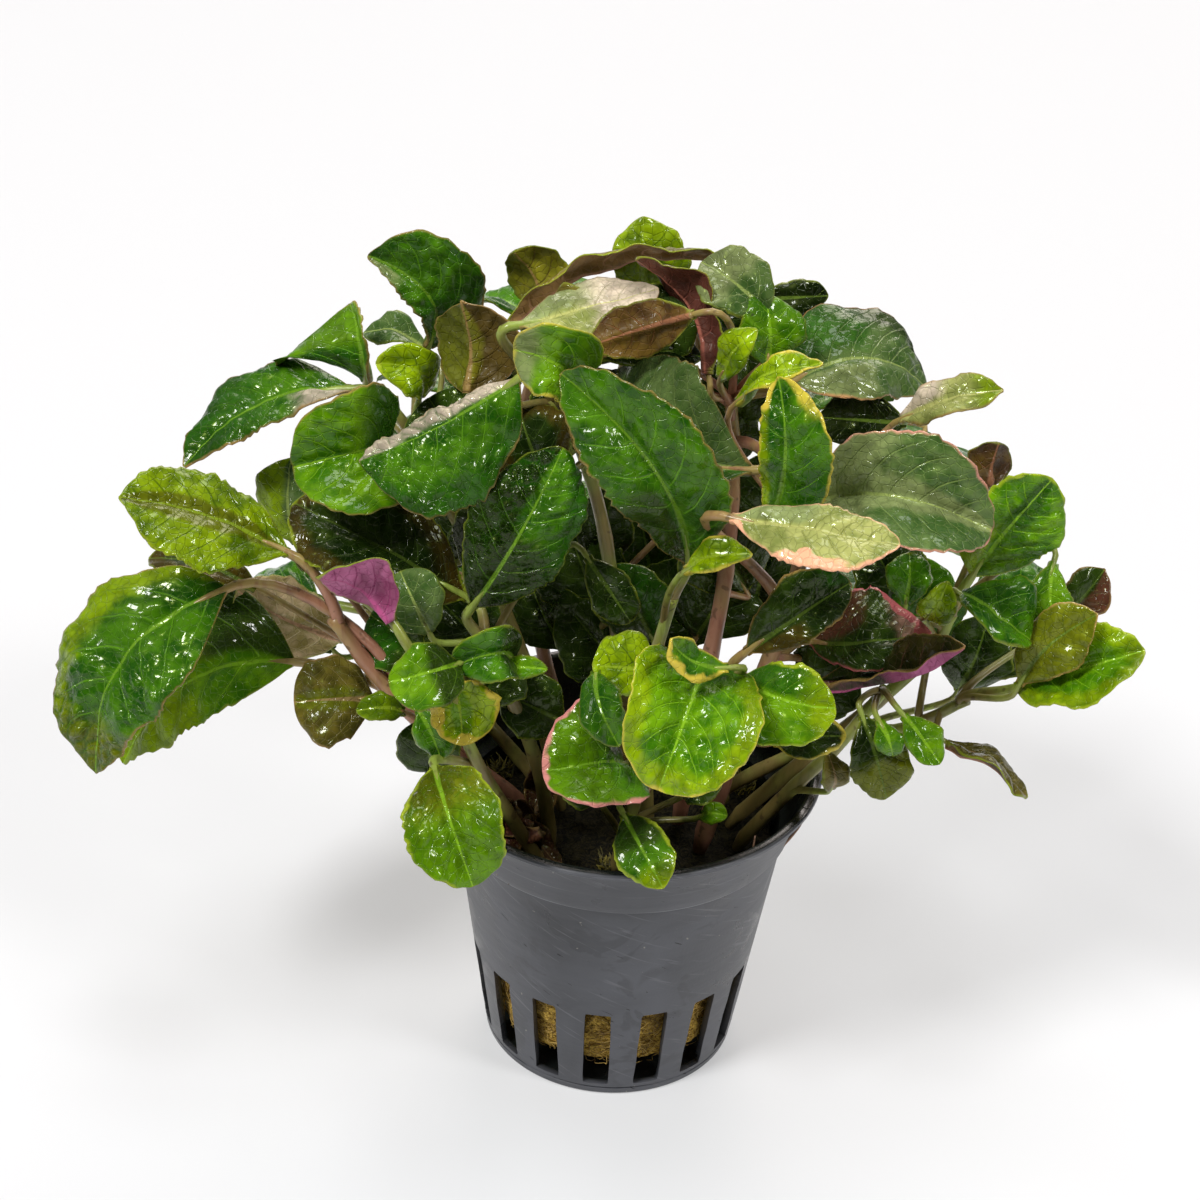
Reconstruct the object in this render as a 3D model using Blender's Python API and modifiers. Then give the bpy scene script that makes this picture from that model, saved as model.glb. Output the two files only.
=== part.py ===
"""A potted mini cardinal flower: net pot, wool plug, shoots and leaf blades.

The pot stands on the plane z = 0 with its axis on Z. The side that is seen in
most pictures faces -Y, and +X is on the right. Lengths are in millimetres in the
tables and are turned into metres where the points are made.
"""

import math
import bpy
import bmesh
from mathutils import Vector

MM = 0.001

# Driving dimensions of the pot, in millimetres
POT_HEIGHT = 45.0
RIM_RADIUS = 27.0
FOOT_RADIUS = 17.6
WALL_SLOPE = 0.142
WALL_THICKNESS = 1.0
FLOOR_THICKNESS = 1.2
COLLAR_HEIGHT = 8.7
COLLAR_STEP = 0.7
COLLAR_SHOULDER = 0.8
COLLAR_TOP_RADIUS = 26.0
LIP_THICKNESS = 0.8
LIP_INNER_RADIUS = 25.5
LIP_BEVEL = 0.3
LIP_INNER_BEVEL = 0.4
LIP_FILLET = 0.5
SLOT_COUNT = 16
SLOT_WIDTH = 3.6
SLOT_FOOT = 1.9
SLOT_TOP = 15.8
SLOT_CUT_DEPTH = 6.0
FIRST_SLOT_DEG = -93.75
TURN_STEPS = 48
POT_ROUGHNESS = 0.45

# Driving dimensions of the plug, in millimetres
PLUG_FOOT = 4.3
PLUG_EDGE_HEIGHT = 33.4
PLUG_TOP = 35.0
PLUG_CROWN_RADIUS = 17.0
PLUG_CROWN_DROP = 0.5
PLUG_WAIST = 20.0
PLUG_WALL_GAP = 0.35
PLUG_FOOT_GAP = 1.5
PLUG_ROUGHNESS = 0.95

# Driving dimensions of the plant, in millimetres
STEM_FOOT = 35.4
STEM_RADIUS = 1.4
STEM_TAPER = 0.3
STEM_SIDES = 6
HIGHEST_STALK = 0.97
STEM_ROUGHNESS = 0.5
STALK_RADIUS = 0.85
SMALL_STALK_RADIUS = 0.6
STALK_TAPER = (1.0, 0.9, 0.8, 0.7)
STALK_SIDES = 4
STALK_RISE = 0.25
STALK_REACH = 0.3
STALK_END = 1.2
TOUCH_GAP = 0.4
BLADE_THICKNESS = 0.6
BLADE_NECK = 0.7
BLADE_END = 0.35
BLADE_ROUGHNESS = 0.35
SMALL_BLADE_ROOT = 0.8
CURL_AT_ENDS = 0.15

# How finely a blade is divided: rows along it and columns across it
BROAD_BLADE = 15.0
BLADE_ROWS = 4
BROAD_COLUMNS = 4
NARROW_COLUMNS = 2
SMALL_ROWS = 3
SMALL_COLUMNS = 2
TIP_CROWDING = 1.25
END_ON = 0.97
WELD = 0.001

# How wide a blade is along its midrib: t to the first power times (1 - t) to the second
OUTLINES = {
    "oval": (0.80, 0.62),
    "round": (0.62, 0.50),
    "lance": (0.85, 0.85),
    "heart": (0.42, 0.55),
    "egg": (0.62, 0.72),
    "fan": (1.10, 0.32),
}

COLOURS = {
    "pot": (0.045, 0.047, 0.052, 1.0),
    "wool": (0.20, 0.12, 0.04, 1.0),
    "stem": (0.22, 0.16, 0.06, 1.0),
    "deep": (0.03, 0.13, 0.02, 1.0),
    "bright": (0.09, 0.28, 0.02, 1.0),
    "lime": (0.20, 0.36, 0.02, 1.0),
    "grey": (0.13, 0.20, 0.10, 1.0),
    "dark": (0.03, 0.07, 0.02, 1.0),
    "brown": (0.13, 0.07, 0.04, 1.0),
    "wine": (0.32, 0.07, 0.13, 1.0),
}


def clear_scene():
    """Removes whatever the file holds, so the model starts from nothing."""
    for thing in list(bpy.data.objects):
        bpy.data.objects.remove(thing, do_unlink=True)


def new_collection(name):
    """A collection of the scene's own."""
    collection = bpy.data.collections.new(name)
    bpy.context.scene.collection.children.link(collection)
    return collection


def make_material(name, colour, roughness):
    """A plain material of one colour."""
    material = bpy.data.materials.new(name)
    material.use_nodes = True
    shader = material.node_tree.nodes["Principled BSDF"]
    shader.inputs["Base Color"].default_value = colour
    shader.inputs["Roughness"].default_value = roughness
    shader.inputs["Metallic"].default_value = 0.0
    return material


def place(name, mesh, collection, material=None):
    """Puts a mesh in a collection as an object."""
    thing = bpy.data.objects.new(name, mesh)
    collection.objects.link(thing)
    if material:
        mesh.materials.append(material)
    return thing


def make_cutter(thing):
    """Marks an object that only shapes another one."""
    thing.hide_render = True
    thing.display_type = "WIRE"


def turned(name, profile, collection, material):
    """Turns a profile of (radius, height) pairs round the Z axis."""
    mesh = bpy.data.meshes.new(name)
    points = [(radius * MM, 0.0, height * MM) for radius, height in profile]
    edges = [(i, i + 1) for i in range(len(points) - 1)]
    mesh.from_pydata(points, edges, [])
    thing = place(name, mesh, collection, material)
    screw = thing.modifiers.new("turn", "SCREW")
    screw.axis = "Z"
    screw.steps = TURN_STEPS
    screw.render_steps = TURN_STEPS
    screw.use_merge_vertices = True
    screw.merge_threshold = WELD * MM
    screw.use_smooth_shade = True
    return thing


def wall_radius(height):
    """The outer radius of the tapered wall at a height."""
    return FOOT_RADIUS + WALL_SLOPE * height


def make_pot(parts, cutters):
    """One moulding: floor, tapered slotted wall, flared collar and thin lip."""
    collar_foot = POT_HEIGHT - COLLAR_HEIGHT
    lip_under = POT_HEIGHT - LIP_THICKNESS
    inner_foot = wall_radius(FLOOR_THICKNESS) - WALL_THICKNESS
    inner_collar = wall_radius(collar_foot) - WALL_THICKNESS
    profile = [
        (0.0, FLOOR_THICKNESS),
        (inner_foot, FLOOR_THICKNESS),
        (inner_collar, collar_foot),
        (inner_collar + COLLAR_STEP, collar_foot + COLLAR_SHOULDER),
        (LIP_INNER_RADIUS, POT_HEIGHT - LIP_INNER_BEVEL),
        (LIP_INNER_RADIUS + LIP_INNER_BEVEL, POT_HEIGHT),
        (RIM_RADIUS - LIP_BEVEL, POT_HEIGHT),
        (RIM_RADIUS, POT_HEIGHT - LIP_BEVEL),
        (RIM_RADIUS, lip_under),
        (COLLAR_TOP_RADIUS + LIP_FILLET, lip_under),
        (COLLAR_TOP_RADIUS, lip_under - LIP_FILLET),
        (wall_radius(collar_foot) + COLLAR_STEP, collar_foot),
        (wall_radius(collar_foot), collar_foot - LIP_BEVEL),
        (FOOT_RADIUS, 0.0),
        (0.0, 0.0),
    ]
    pot = turned("pot", profile, parts, make_material("pot", COLOURS["pot"], POT_ROUGHNESS))
    slots = bmesh.new()
    middle = (SLOT_FOOT + SLOT_TOP) / 2
    size = Vector((SLOT_CUT_DEPTH, SLOT_WIDTH, SLOT_TOP - SLOT_FOOT)) * MM
    reach = Vector((wall_radius(middle), 0.0, middle)) * MM
    for i in range(SLOT_COUNT):
        turn = math.radians(FIRST_SLOT_DEG) + i * math.tau / SLOT_COUNT
        made = bmesh.ops.create_cube(slots, size=1.0)["verts"]
        bmesh.ops.scale(slots, vec=size, verts=made)
        bmesh.ops.translate(slots, vec=reach, verts=made)
        spin = Vector((math.cos(turn), math.sin(turn), 0.0))
        for vert in made:
            x, y, z = vert.co
            vert.co = (x * spin.x - y * spin.y, x * spin.y + y * spin.x, z)
    mesh = bpy.data.meshes.new("pot_slots")
    slots.to_mesh(mesh)
    slots.free()
    cutter = place("pot_slots", mesh, cutters)
    make_cutter(cutter)
    cut = pot.modifiers.new("slots", "BOOLEAN")
    cut.operation = "DIFFERENCE"
    cut.object = cutter
    return pot


def make_plug(parts):
    """The wool plug: a tapered block that wedges in the wall, with a low mossy crown."""
    def inner(height, gap):
        return wall_radius(height) - WALL_THICKNESS - gap
    profile = [
        (0.0, PLUG_TOP),
        (PLUG_CROWN_RADIUS, PLUG_TOP - PLUG_CROWN_DROP),
        (inner(PLUG_EDGE_HEIGHT, PLUG_WALL_GAP), PLUG_EDGE_HEIGHT),
        (inner(PLUG_WAIST, PLUG_WALL_GAP), PLUG_WAIST),
        (inner(PLUG_FOOT, PLUG_FOOT_GAP), PLUG_FOOT),
        (0.0, PLUG_FOOT),
    ]
    return turned("wool_plug", profile, parts, make_material("wool", COLOURS["wool"], PLUG_ROUGHNESS))


def facing(turn, lift):
    """The way a blade faces: turn 0 is towards -Y and 90 towards +X, lift 90 is up."""
    a, e = math.radians(turn), math.radians(lift)
    return Vector((math.sin(a) * math.cos(e), -math.cos(a) * math.cos(e), math.sin(e)))


def leaf(shoot, along, base, tip, width, face, colour="deep", **shape):
    """One row of the leaf table.

    shoot and along say where its stalk leaves the stem, from 0 at the foot to 1.
    base and tip are the ends of the midrib, face is the way the upper side looks.
    arch lifts the middle of the midrib off the chord, sweep bends it sideways,
    fold is the V between the halves and curl rolls their edges down, in degrees.
    left and right scale the two halves. solo leaves are pieces of their own.
    """
    row = {
        "shoot": shoot, "along": along, "base": Vector(base), "tip": Vector(tip), "width": width,
        "face": facing(*face), "colour": colour, "arch": 2.0, "at": 0.5, "sweep": 0.0, "fold": 12.0,
        "curl": -10.0, "left": 1.0, "right": 1.0, "outline": "oval", "solo": True,
    }
    row.update(shape)
    return row


def small(*args, **shape):
    """A small leaf, which is fused to its shoot."""
    return leaf(*args, solo=False, **shape)


# Stems, from the plug upwards; each shoot is a stem with the stalks that grow from it
STEMS = {
    "shoot_left_low": [(-11, -5, STEM_FOOT), (-12, -5, 38), (-25, -8, 52), (-32, -8, 60), (-38, -8, 69)],
    "shoot_left_rear": [(-12, 4, STEM_FOOT), (-13, 5, 38), (-29, 11, 53), (-37, 11, 61)],
    "shoot_left_high": [(-8, 0, STEM_FOOT), (-12, 4, 50), (-18, 8, 64), (-25, 10, 76), (-30, 11, 84)],
    "shoot_left_mid": [(-9, -8, STEM_FOOT), (-11, -9, 48), (-15, -10, 60), (-19, -11, 69)],
    "shoot_front_left": [(-10, -13, STEM_FOOT), (-14, -16, 45), (-18, -18, 54), (-21, -18, 61)],
    "shoot_top": [(0, 2, STEM_FOOT), (-1, 4, 55), (-4, 6, 75), (-8, 7, 88), (-12, 6, 95)],
    "shoot_centre": [(4, -7, STEM_FOOT), (3, -8, 50), (3, -9, 64), (5, -11, 77)],
    "shoot_front": [(0, -13, STEM_FOOT), (1, -15, 44), (3, -16, 54), (5, -17, 63)],
    "shoot_right_mid": [(8, -2, STEM_FOOT), (10, 0, 55), (12, 4, 72), (12, 8, 86), (11, 9, 95)],
    "shoot_right": [(11, -7, STEM_FOOT), (14, -7, 50), (17, -7, 62), (20, -6, 74), (21, -5, 82)],
    "shoot_right_low": [(16, -6, STEM_FOOT), (22, -8, 46), (28, -9, 55), (33, -9, 64)],
    "shoot_far_right": [(15, -1, STEM_FOOT), (24, -2, 47), (33, -3, 58), (39, -3, 66), (41, -3, 72)],
    "shoot_right_out": [(14, 4, STEM_FOOT), (15, 4, 38), (28, 1, 49), (37, -3, 54), (44, -6, 61)],
    "shoot_back_left": [(-7, 9, STEM_FOOT), (-12, 14, 52), (-16, 18, 68), (-17, 20, 80), (-15, 20, 91)],
    "shoot_back_right": [(8, 10, STEM_FOOT), (11, 15, 52), (13, 19, 68), (13, 20, 82), (12, 19, 91)],
    "shoot_back": [(0, 13, STEM_FOOT), (0, 19, 50), (-1, 23, 66), (-2, 24, 80), (-3, 24, 91)],
}

LEAVES = {
    # Left side
    "leaf_left_long": leaf("shoot_left_high", 1.0, (-39, 11, 91), (-58, 5, 83), 13.5, (-15, 72),
                           arch=3.0, sweep=0.7, curl=-15, outline="lance", left=0.95, right=0.9),
    "leaf_left_peak": leaf("shoot_left_high", 0.95, (-37, 15, 90), (-43, 19, 98), 15, (-5, 50),
                           fold=20, right=0.85, outline="fan"),
    "leaf_left_lime": leaf("shoot_left_low", 1.0, (-44, -8, 77), (-64, -12, 88), 15.5, (-10, 60), "lime"),
    "leaf_left_big": leaf("shoot_left_low", 0.62, (-51, -8, 74), (-68, -18, 50), 20, (-35, 40),
                          arch=4, sweep=4.6, curl=-25, outline="egg", left=1.15, right=0.88),
    "leaf_left_under": leaf("shoot_left_low", 0.5, (-44, -3, 59), (-68, -5, 42), 15, (-15, 45), "bright",
                            arch=3, sweep=1.5, outline="egg", right=1.45),
    "leaf_left_pale": small("shoot_left_rear", 0.6, (-38, 4, 56), (-52, 8, 63), 11, (180, 25), "grey",
                            sweep=1),
    "leaf_left_olive": small("shoot_left_low", 0.45, (-33, -8, 57), (-43, -10, 57), 12, (-10, 38), "dark",
                             arch=1.5, outline="round"),
    "leaf_left_back": small("shoot_left_rear", 1.0, (-45, 8, 70), (-46, 12, 81), 9.5, (-30, 35), "grey"),
    "leaf_left_rear": leaf("shoot_left_rear", 0.8, (-43, 14, 58), (-58, 22, 50), 13, (-110, 48),
                           arch=2.5),
    # Upper left
    "leaf_mid_green": leaf("shoot_left_high", 0.97, (-29, 6, 88), (-44, 0, 85), 17.5, (-12, 46), "bright",
                           arch=3.5, outline="round", right=0.85),
    "leaf_mid_curl": leaf("shoot_left_high", 0.9, (-28, 4, 92), (-21, -21, 92), 20.5, (-12, 50),
                          arch=6.5, at=0.3, outline="round", left=1.1, right=0.88),
    "leaf_mid_olive": small("shoot_top", 0.95, (-22, 6, 95), (-28, 8, 108), 12.5, (165, 35), "dark",
                            fold=15, left=0.9, right=1.2),
    "leaf_top_left": leaf("shoot_left_high", 1.0, (-29, 21, 95), (-37, 20, 107), 16, (15, 48),
                          arch=4, sweep=3, left=0.6, right=0.95),
    "leaf_small_lime": small("shoot_left_high", 1.0, (-27, 12, 91), (-35, 10, 97), 7.2, (0, 52), "lime",
                             arch=1.0, sweep=0.6, outline="round"),
    "leaf_mid_light": leaf("shoot_top", 0.9, (-8, -8, 104), (-15, -6, 109), 12, (0, 48), "bright",
                           outline="round"),
    "leaf_top_olive": small("shoot_back_left", 1.0, (-13, 20, 100), (-18, 22, 108), 9.5, (170, 22), "dark"),
    # Top
    "leaf_arch_long": leaf("shoot_top", 1.0, (-19, 12, 101), (13, 12, 111), 9.5, (180, 62), "brown", arch=6),
    "leaf_arch_red": small("shoot_right_mid", 1.0, (8, 1, 102), (-2, 6, 115), 8.5, (150, 35), "wine",
                           arch=3.5),
    "leaf_top_upright": leaf("shoot_back", 1.0, (1, 22, 98), (-2, 24, 112), 11, (0, 28), "lime",
                             arch=1.5, left=0.9),
    "leaf_top_glare": leaf("shoot_top", 1.0, (-16, 2, 107), (1, 6, 111), 12, (0, 82), "grey", arch=1.2),
    "leaf_grey_top": small("shoot_right_mid", 1.0, (15, 4, 109), (6, 8, 114), 9.5, (10, 50), "grey",
                           arch=1.5),
    "leaf_twist_green": small("shoot_right_mid", 1.0, (15, 2, 103), (14, 6, 111), 8.5, (20, 22)),
    "leaf_grey_mid": small("shoot_right_mid", 1.0, (4, 6, 103), (-1, 8, 108), 8, (5, 50), "grey", arch=1.2),
    "leaf_top_right": leaf("shoot_right_mid", 1.0, (18, 5, 100), (37, 9, 99), 17, (8, 50), "grey",
                           arch=6, outline="heart", left=0.95, right=0.65),
    "leaf_right_high": small("shoot_right", 1.0, (32, -2, 99), (43, -6, 106), 7.5, (0, 62), "grey",
                             arch=1.0),
    # Centre
    "leaf_centre_big": leaf("shoot_centre", 1.0, (5, -14, 84), (-10, -12, 108), 18, (-5, 36),
                            arch=4, sweep=2.6, curl=-22, left=0.85, right=1.05),
    "leaf_centre_back": leaf("shoot_right_mid", 0.8, (13, -5, 92), (-3, 0, 103), 11.5, (10, 52), "grey",
                             arch=3),
    "leaf_centre_dark": leaf("shoot_left_mid", 1.0, (-20, -12, 75), (-10, -8, 96), 18, (0, 30),
                             arch=4, sweep=1.2, left=1.15),
    "leaf_shade_left": leaf("shoot_left_mid", 0.95, (-21, -6, 72), (-44, 0, 81), 15, (-10, 55), "dark",
                            arch=3, sweep=-0.5),
    "leaf_magenta": leaf("shoot_front_left", 1.0, (-29, -19, 76), (-38, -21, 83), 9.5, (170, 25), "wine",
                         arch=2.5, fold=10, left=1.25, right=0.9),
    "leaf_grey_small": small("shoot_left_mid", 0.95, (-25, -15, 72), (-29, -12, 79), 8, (0, 35), "grey",
                             outline="round"),
    # Front
    "leaf_low_left_a": small("shoot_front_left", 1.0, (-22, -21, 72), (-29, -23, 69), 9, (-10, 42), "bright",
                             arch=1.5, outline="round"),
    "leaf_low_left_b": small("shoot_left_mid", 0.9, (-14, -16, 73), (-21, -17, 71), 9.5, (0, 42), "dark",
                             arch=1.5, outline="round"),
    "leaf_low_left_c": small("shoot_front_left", 0.95, (-20, -21, 69), (-20, -24, 62), 10, (0, 45), "lime",
                             arch=1.5, outline="round"),
    "leaf_low_left_d": small("shoot_front_left", 0.7, (-26, -18, 62), (-22, -20, 57), 5.5, (-20, 35),
                             arch=1),
    "leaf_rim_left": leaf("shoot_front_left", 0.6, (-23, -25, 59), (-18, -31, 45), 14, (-5, 28), "bright"),
    "leaf_heart": small("shoot_front", 1.0, (3, -17, 70), (-4, -19, 72), 9, (0, 42), "lime",
                        arch=1.2, outline="heart"),
    "leaf_front_big": leaf("shoot_front", 1.0, (9, -21, 76), (6, -29, 59), 19.5, (5, 38), "bright",
                           arch=2.5, curl=-8, outline="round"),
    "leaf_front_pink": leaf("shoot_front", 0.7, (1, -16, 59), (-10, -21, 56), 13.5, (-5, 42),
                            arch=1.5, outline="round"),
    "leaf_front_mid": small("shoot_front", 1.0, (-4, -20, 72), (-2, -25, 63), 6.8, (-10, 35), arch=1.5),
    "leaf_rim_front": small("shoot_front", 0.3, (0, -20, 51), (6, -30, 46), 8, (-10, 42), "bright"),
    "leaf_right_round": leaf("shoot_right", 0.45, (16, -20, 69), (26, -21, 68), 12, (8, 45), "bright",
                             arch=1.5, outline="round"),
    # Right side
    "leaf_right_dark": leaf("shoot_right", 0.4, (13, -13, 71), (27, -13, 82), 12.5, (8, 38), "dark",
                            sweep=-1.2, right=0.85),
    "leaf_right_pink_rim": leaf("shoot_right", 0.5, (23, -4, 67), (38, -10, 73), 13.5, (0, 58), "dark",
                                arch=2.5),
    "leaf_right_wine": leaf("shoot_right", 0.4, (22, -11, 65), (41, -17, 75), 9, (180, 20), "wine",
                            arch=-1.5, sweep=-1.5),
    "leaf_right_orange": leaf("shoot_right", 0.7, (12, -18, 93), (31, -22, 92), 12.5, (0, 62), "grey",
                              arch=1.5, left=0.4, outline="fan"),
    "leaf_right_upright": leaf("shoot_right", 1.0, (16, -13, 90), (15, -13, 109), 13, (8, 22), "bright",
                               sweep=1.5, left=0.5, right=0.95),
    "leaf_right_grey": leaf("shoot_right", 1.0, (24, -5, 87), (43, -11, 92), 17.5, (5, 55), "grey",
                            arch=2.5),
    "leaf_low_right": small("shoot_right_low", 1.0, (32, -13, 62), (34, -17, 52), 8.8, (-10, 35), "dark",
                            arch=1.2),
    "leaf_low_right_b": small("shoot_right_low", 1.0, (35, -15, 64), (40, -18, 59), 5, (10, 40), "bright",
                              arch=0.6),
    "leaf_inner_right": small("shoot_far_right", 0.9, (35, -3, 73), (35, 0, 79), 6.5, (10, 40), arch=1),
    # Far right
    "leaf_far_round": leaf("shoot_far_right", 1.0, (43, -3, 77), (51, -4, 92), 13.5, (15, 42), "bright",
                           outline="round"),
    "leaf_far_bud": small("shoot_far_right", 0.85, (45, 9, 84), (47, 11, 89), 7, (190, 20), "brown", arch=1),
    "leaf_far_fold": small("shoot_far_right", 1.0, (42, -8, 75), (51, -11, 72), 8.5, (20, 45), fold=25),
    "leaf_far_grey": small("shoot_right_out", 1.0, (57, 2, 69), (62, 4, 76), 6.5, (20, 42), "dark",
                           arch=1.2),
    "leaf_far_end": leaf("shoot_right_out", 1.0, (50, -9, 66), (65, -12, 73), 14, (5, 52), "bright",
                         fold=30),
    "leaf_far_slate": small("shoot_right_out", 1.0, (47, 2, 60), (54, 4, 63), 6.5, (0, 60), "dark", arch=1),
    "leaf_far_sickle": small("shoot_right_out", 0.9, (42, -8, 56), (53, -12, 51), 8, (180, 62), "brown",
                             arch=1.5),
    "leaf_right_rear": small("shoot_right_out", 0.8, (46, 12, 66), (60, 20, 62), 13, (110, 48),
                             arch=2.5),
    # Back
    "leaf_back_top_left": leaf("shoot_back_left", 1.0, (-15, 23, 97), (-25, 33, 94), 14, (-150, 62), arch=3),
    "leaf_back_top_mid": leaf("shoot_back", 1.0, (-4, 26, 98), (-7, 41, 92), 15, (180, 58), arch=3),
    "leaf_back_top_right": leaf("shoot_back_right", 1.0, (12, 20, 98), (22, 33, 95), 14, (150, 62), arch=3),
    "leaf_back_left_high": leaf("shoot_back_left", 0.75, (-28, 20, 78), (-44, 32, 72), 16, (-135, 55),
                                arch=3),
    "leaf_back_mid_left": leaf("shoot_back_left", 0.7, (-14, 30, 80), (-20, 49, 70), 16, (-165, 50), arch=3),
    "leaf_back_mid_right": leaf("shoot_back_right", 0.7, (10, 32, 80), (15, 51, 70), 16, (165, 50), arch=3),
    "leaf_back_right_high": leaf("shoot_back_right", 0.75, (28, 22, 80), (44, 33, 76), 16, (130, 55),
                                 arch=3),
    "leaf_back_left_low": leaf("shoot_back_left", 0.35, (-24, 26, 56), (-38, 40, 46), 14, (-140, 45),
                               arch=2.5),
    "leaf_back_mid_low": leaf("shoot_back", 0.4, (0, 32, 58), (1, 50, 48), 14, (180, 45), arch=2.5),
    "leaf_back_right_low": leaf("shoot_back_right", 0.35, (25, 25, 57), (39, 38, 48), 14, (140, 45),
                                arch=2.5),
    "leaf_back_fill_a": small("shoot_back_left", 0.9, (-24, 23, 85), (-36, 31, 84), 12, (-140, 60)),
    "leaf_back_fill_b": small("shoot_back", 0.85, (-8, 30, 88), (-12, 44, 83), 12, (-170, 55)),
    "leaf_back_fill_c": small("shoot_back_right", 0.9, (21, 24, 86), (33, 31, 85), 12, (140, 60)),
    "leaf_back_fill_d": small("shoot_back", 0.85, (4, 30, 89), (7, 44, 84), 12, (170, 55)),
    "leaf_back_fill_e": small("shoot_back", 0.5, (-8, 33, 64), (-12, 47, 59), 11, (-170, 45), "bright"),
    "leaf_back_fill_f": small("shoot_back", 0.5, (8, 33, 65), (12, 47, 60), 11, (170, 45), "bright"),
    "leaf_back_fill_g": small("shoot_back_left", 0.5, (-30, 23, 65), (-44, 32, 61), 12, (-135, 50), "lime"),
    "leaf_back_fill_h": small("shoot_back_right", 0.5, (32, 23, 66), (46, 30, 62), 12, (135, 50), "lime"),
}


def half_width(t, row):
    """Half the width at t along the midrib, from 0 at the stalk to 1 at the tip."""
    rise, fall = OUTLINES[row["outline"]]
    widest = rise / (rise + fall)
    return row["width"] / 2 * (t / widest) ** rise * ((1 - t) / (1 - widest)) ** fall


def midrib(row):
    """The frame of a blade: chord and face directions, side, and the curve's middle handle."""
    chord = row["tip"] - row["base"]
    along = chord.normalized()
    up = (row["face"] - along * row["face"].dot(along)).normalized()
    side = along.cross(up)
    handle = row["base"] + chord * row["at"] + up * 2 * row["arch"] + side * 2 * row["sweep"]
    return up, side, handle


def midrib_direction(row, t):
    """The way the midrib runs at t."""
    handle = midrib(row)[2]
    return (2 * (1 - t) * (handle - row["base"]) + 2 * t * (row["tip"] - handle)).normalized()


def blade_point(row, t, s):
    """A point of the upper side, in millimetres: t along the midrib, s from -1 to 1 across."""
    up, side, handle = midrib(row)
    base, tip = row["base"], row["tip"]
    spine = base * (1 - t) ** 2 + handle * 2 * t * (1 - t) + tip * t ** 2
    along = midrib_direction(row, t)
    if abs(up.dot(along)) < END_ON:
        normal = (up - along * up.dot(along)).normalized()
    else:
        normal = side.cross(along).normalized()
    across = along.cross(normal)
    full = half_width(t, row)
    reach = full * (row["left"] if s < 0 else row["right"])
    reach = max(reach, BLADE_NECK if t < 0.5 else BLADE_END)
    fold = math.radians(row["fold"])
    curl = math.radians(row["curl"]) * min(1.0, full / (row["width"] / 2) + CURL_AT_ENDS)
    end = fold + curl * abs(s)
    out = (math.sin(end) - math.sin(fold)) / curl
    rise = (math.cos(fold) - math.cos(end)) / curl
    return spine + across * math.copysign(out * reach, s) + normal * rise * reach


def make_blade(name, row, rows, columns, collection, material=None):
    """A blade: a grid bent into the leaf's surface and thickened downwards."""
    grid = bmesh.new()
    bmesh.ops.create_grid(grid, x_segments=columns, y_segments=rows, size=1.0)
    for vert in grid.verts:
        across, along = vert.co.x, (vert.co.y + 1) / 2
        # More rows near the tip, where the outline turns fastest
        t = 1 - (1 - along) ** TIP_CROWDING
        vert.co = blade_point(row, t, across) * MM
    mesh = bpy.data.meshes.new(name)
    grid.to_mesh(mesh)
    grid.free()
    thing = place(name, mesh, collection, material)
    thick = thing.modifiers.new("thickness", "SOLIDIFY")
    thick.thickness = BLADE_THICKNESS * MM
    thick.offset = -1.0
    return thing


def make_tube(name, points, radii, sides, collection, material=None):
    """A tapered tube through points, made a mesh with its caps joined on."""
    curve = bpy.data.curves.new(name, "CURVE")
    curve.dimensions = "3D"
    curve.bevel_depth = MM
    # A round of resolution n has 4 + 2 n sides
    curve.bevel_resolution = (sides - 4) // 2
    curve.use_fill_caps = True
    line = curve.splines.new("POLY")
    line.points.add(len(points) - 1)
    for spot, point, radius in zip(line.points, points, radii):
        spot.co = (point.x * MM, point.y * MM, point.z * MM, 1.0)
        spot.radius = radius
    drawn = bpy.data.objects.new(name + "_curve", curve)
    bpy.context.scene.collection.objects.link(drawn)
    graph = bpy.context.evaluated_depsgraph_get()
    mesh = bpy.data.meshes.new_from_object(drawn.evaluated_get(graph))
    mesh.name = name
    bpy.data.objects.remove(drawn, do_unlink=True)
    joined = bmesh.new()
    joined.from_mesh(mesh)
    bmesh.ops.remove_doubles(joined, verts=joined.verts, dist=WELD * MM)
    bmesh.ops.recalc_face_normals(joined, faces=joined.faces)
    joined.to_mesh(mesh)
    joined.free()
    return place(name, mesh, collection, material)


def stem_point(points, along):
    """A point of a stem, from 0 at its foot to 1 at its top."""
    place_on = along * (len(points) - 1)
    low = min(int(place_on), len(points) - 2)
    return points[low].lerp(points[low + 1], place_on - low)


def stalk_points(start, row):
    """A stalk leaves the stem steeply and arrives in line with the midrib."""
    heading = midrib_direction(row, 0.0)
    if row["solo"]:
        end = row["base"] - heading * TOUCH_GAP
    else:
        end = row["base"] + heading * SMALL_BLADE_ROOT
    straight = end - heading * STALK_END
    length = (straight - start).length
    first = start + Vector((0, 0, 1)) * length * STALK_RISE
    second = straight - heading * length * STALK_REACH
    points = []
    for t in (0.0, 0.5, 1.0):
        u = 1 - t
        points.append(start * u ** 3 + first * 3 * u * u * t + second * 3 * u * t * t + straight * t ** 3)
    return points + [end]


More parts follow.
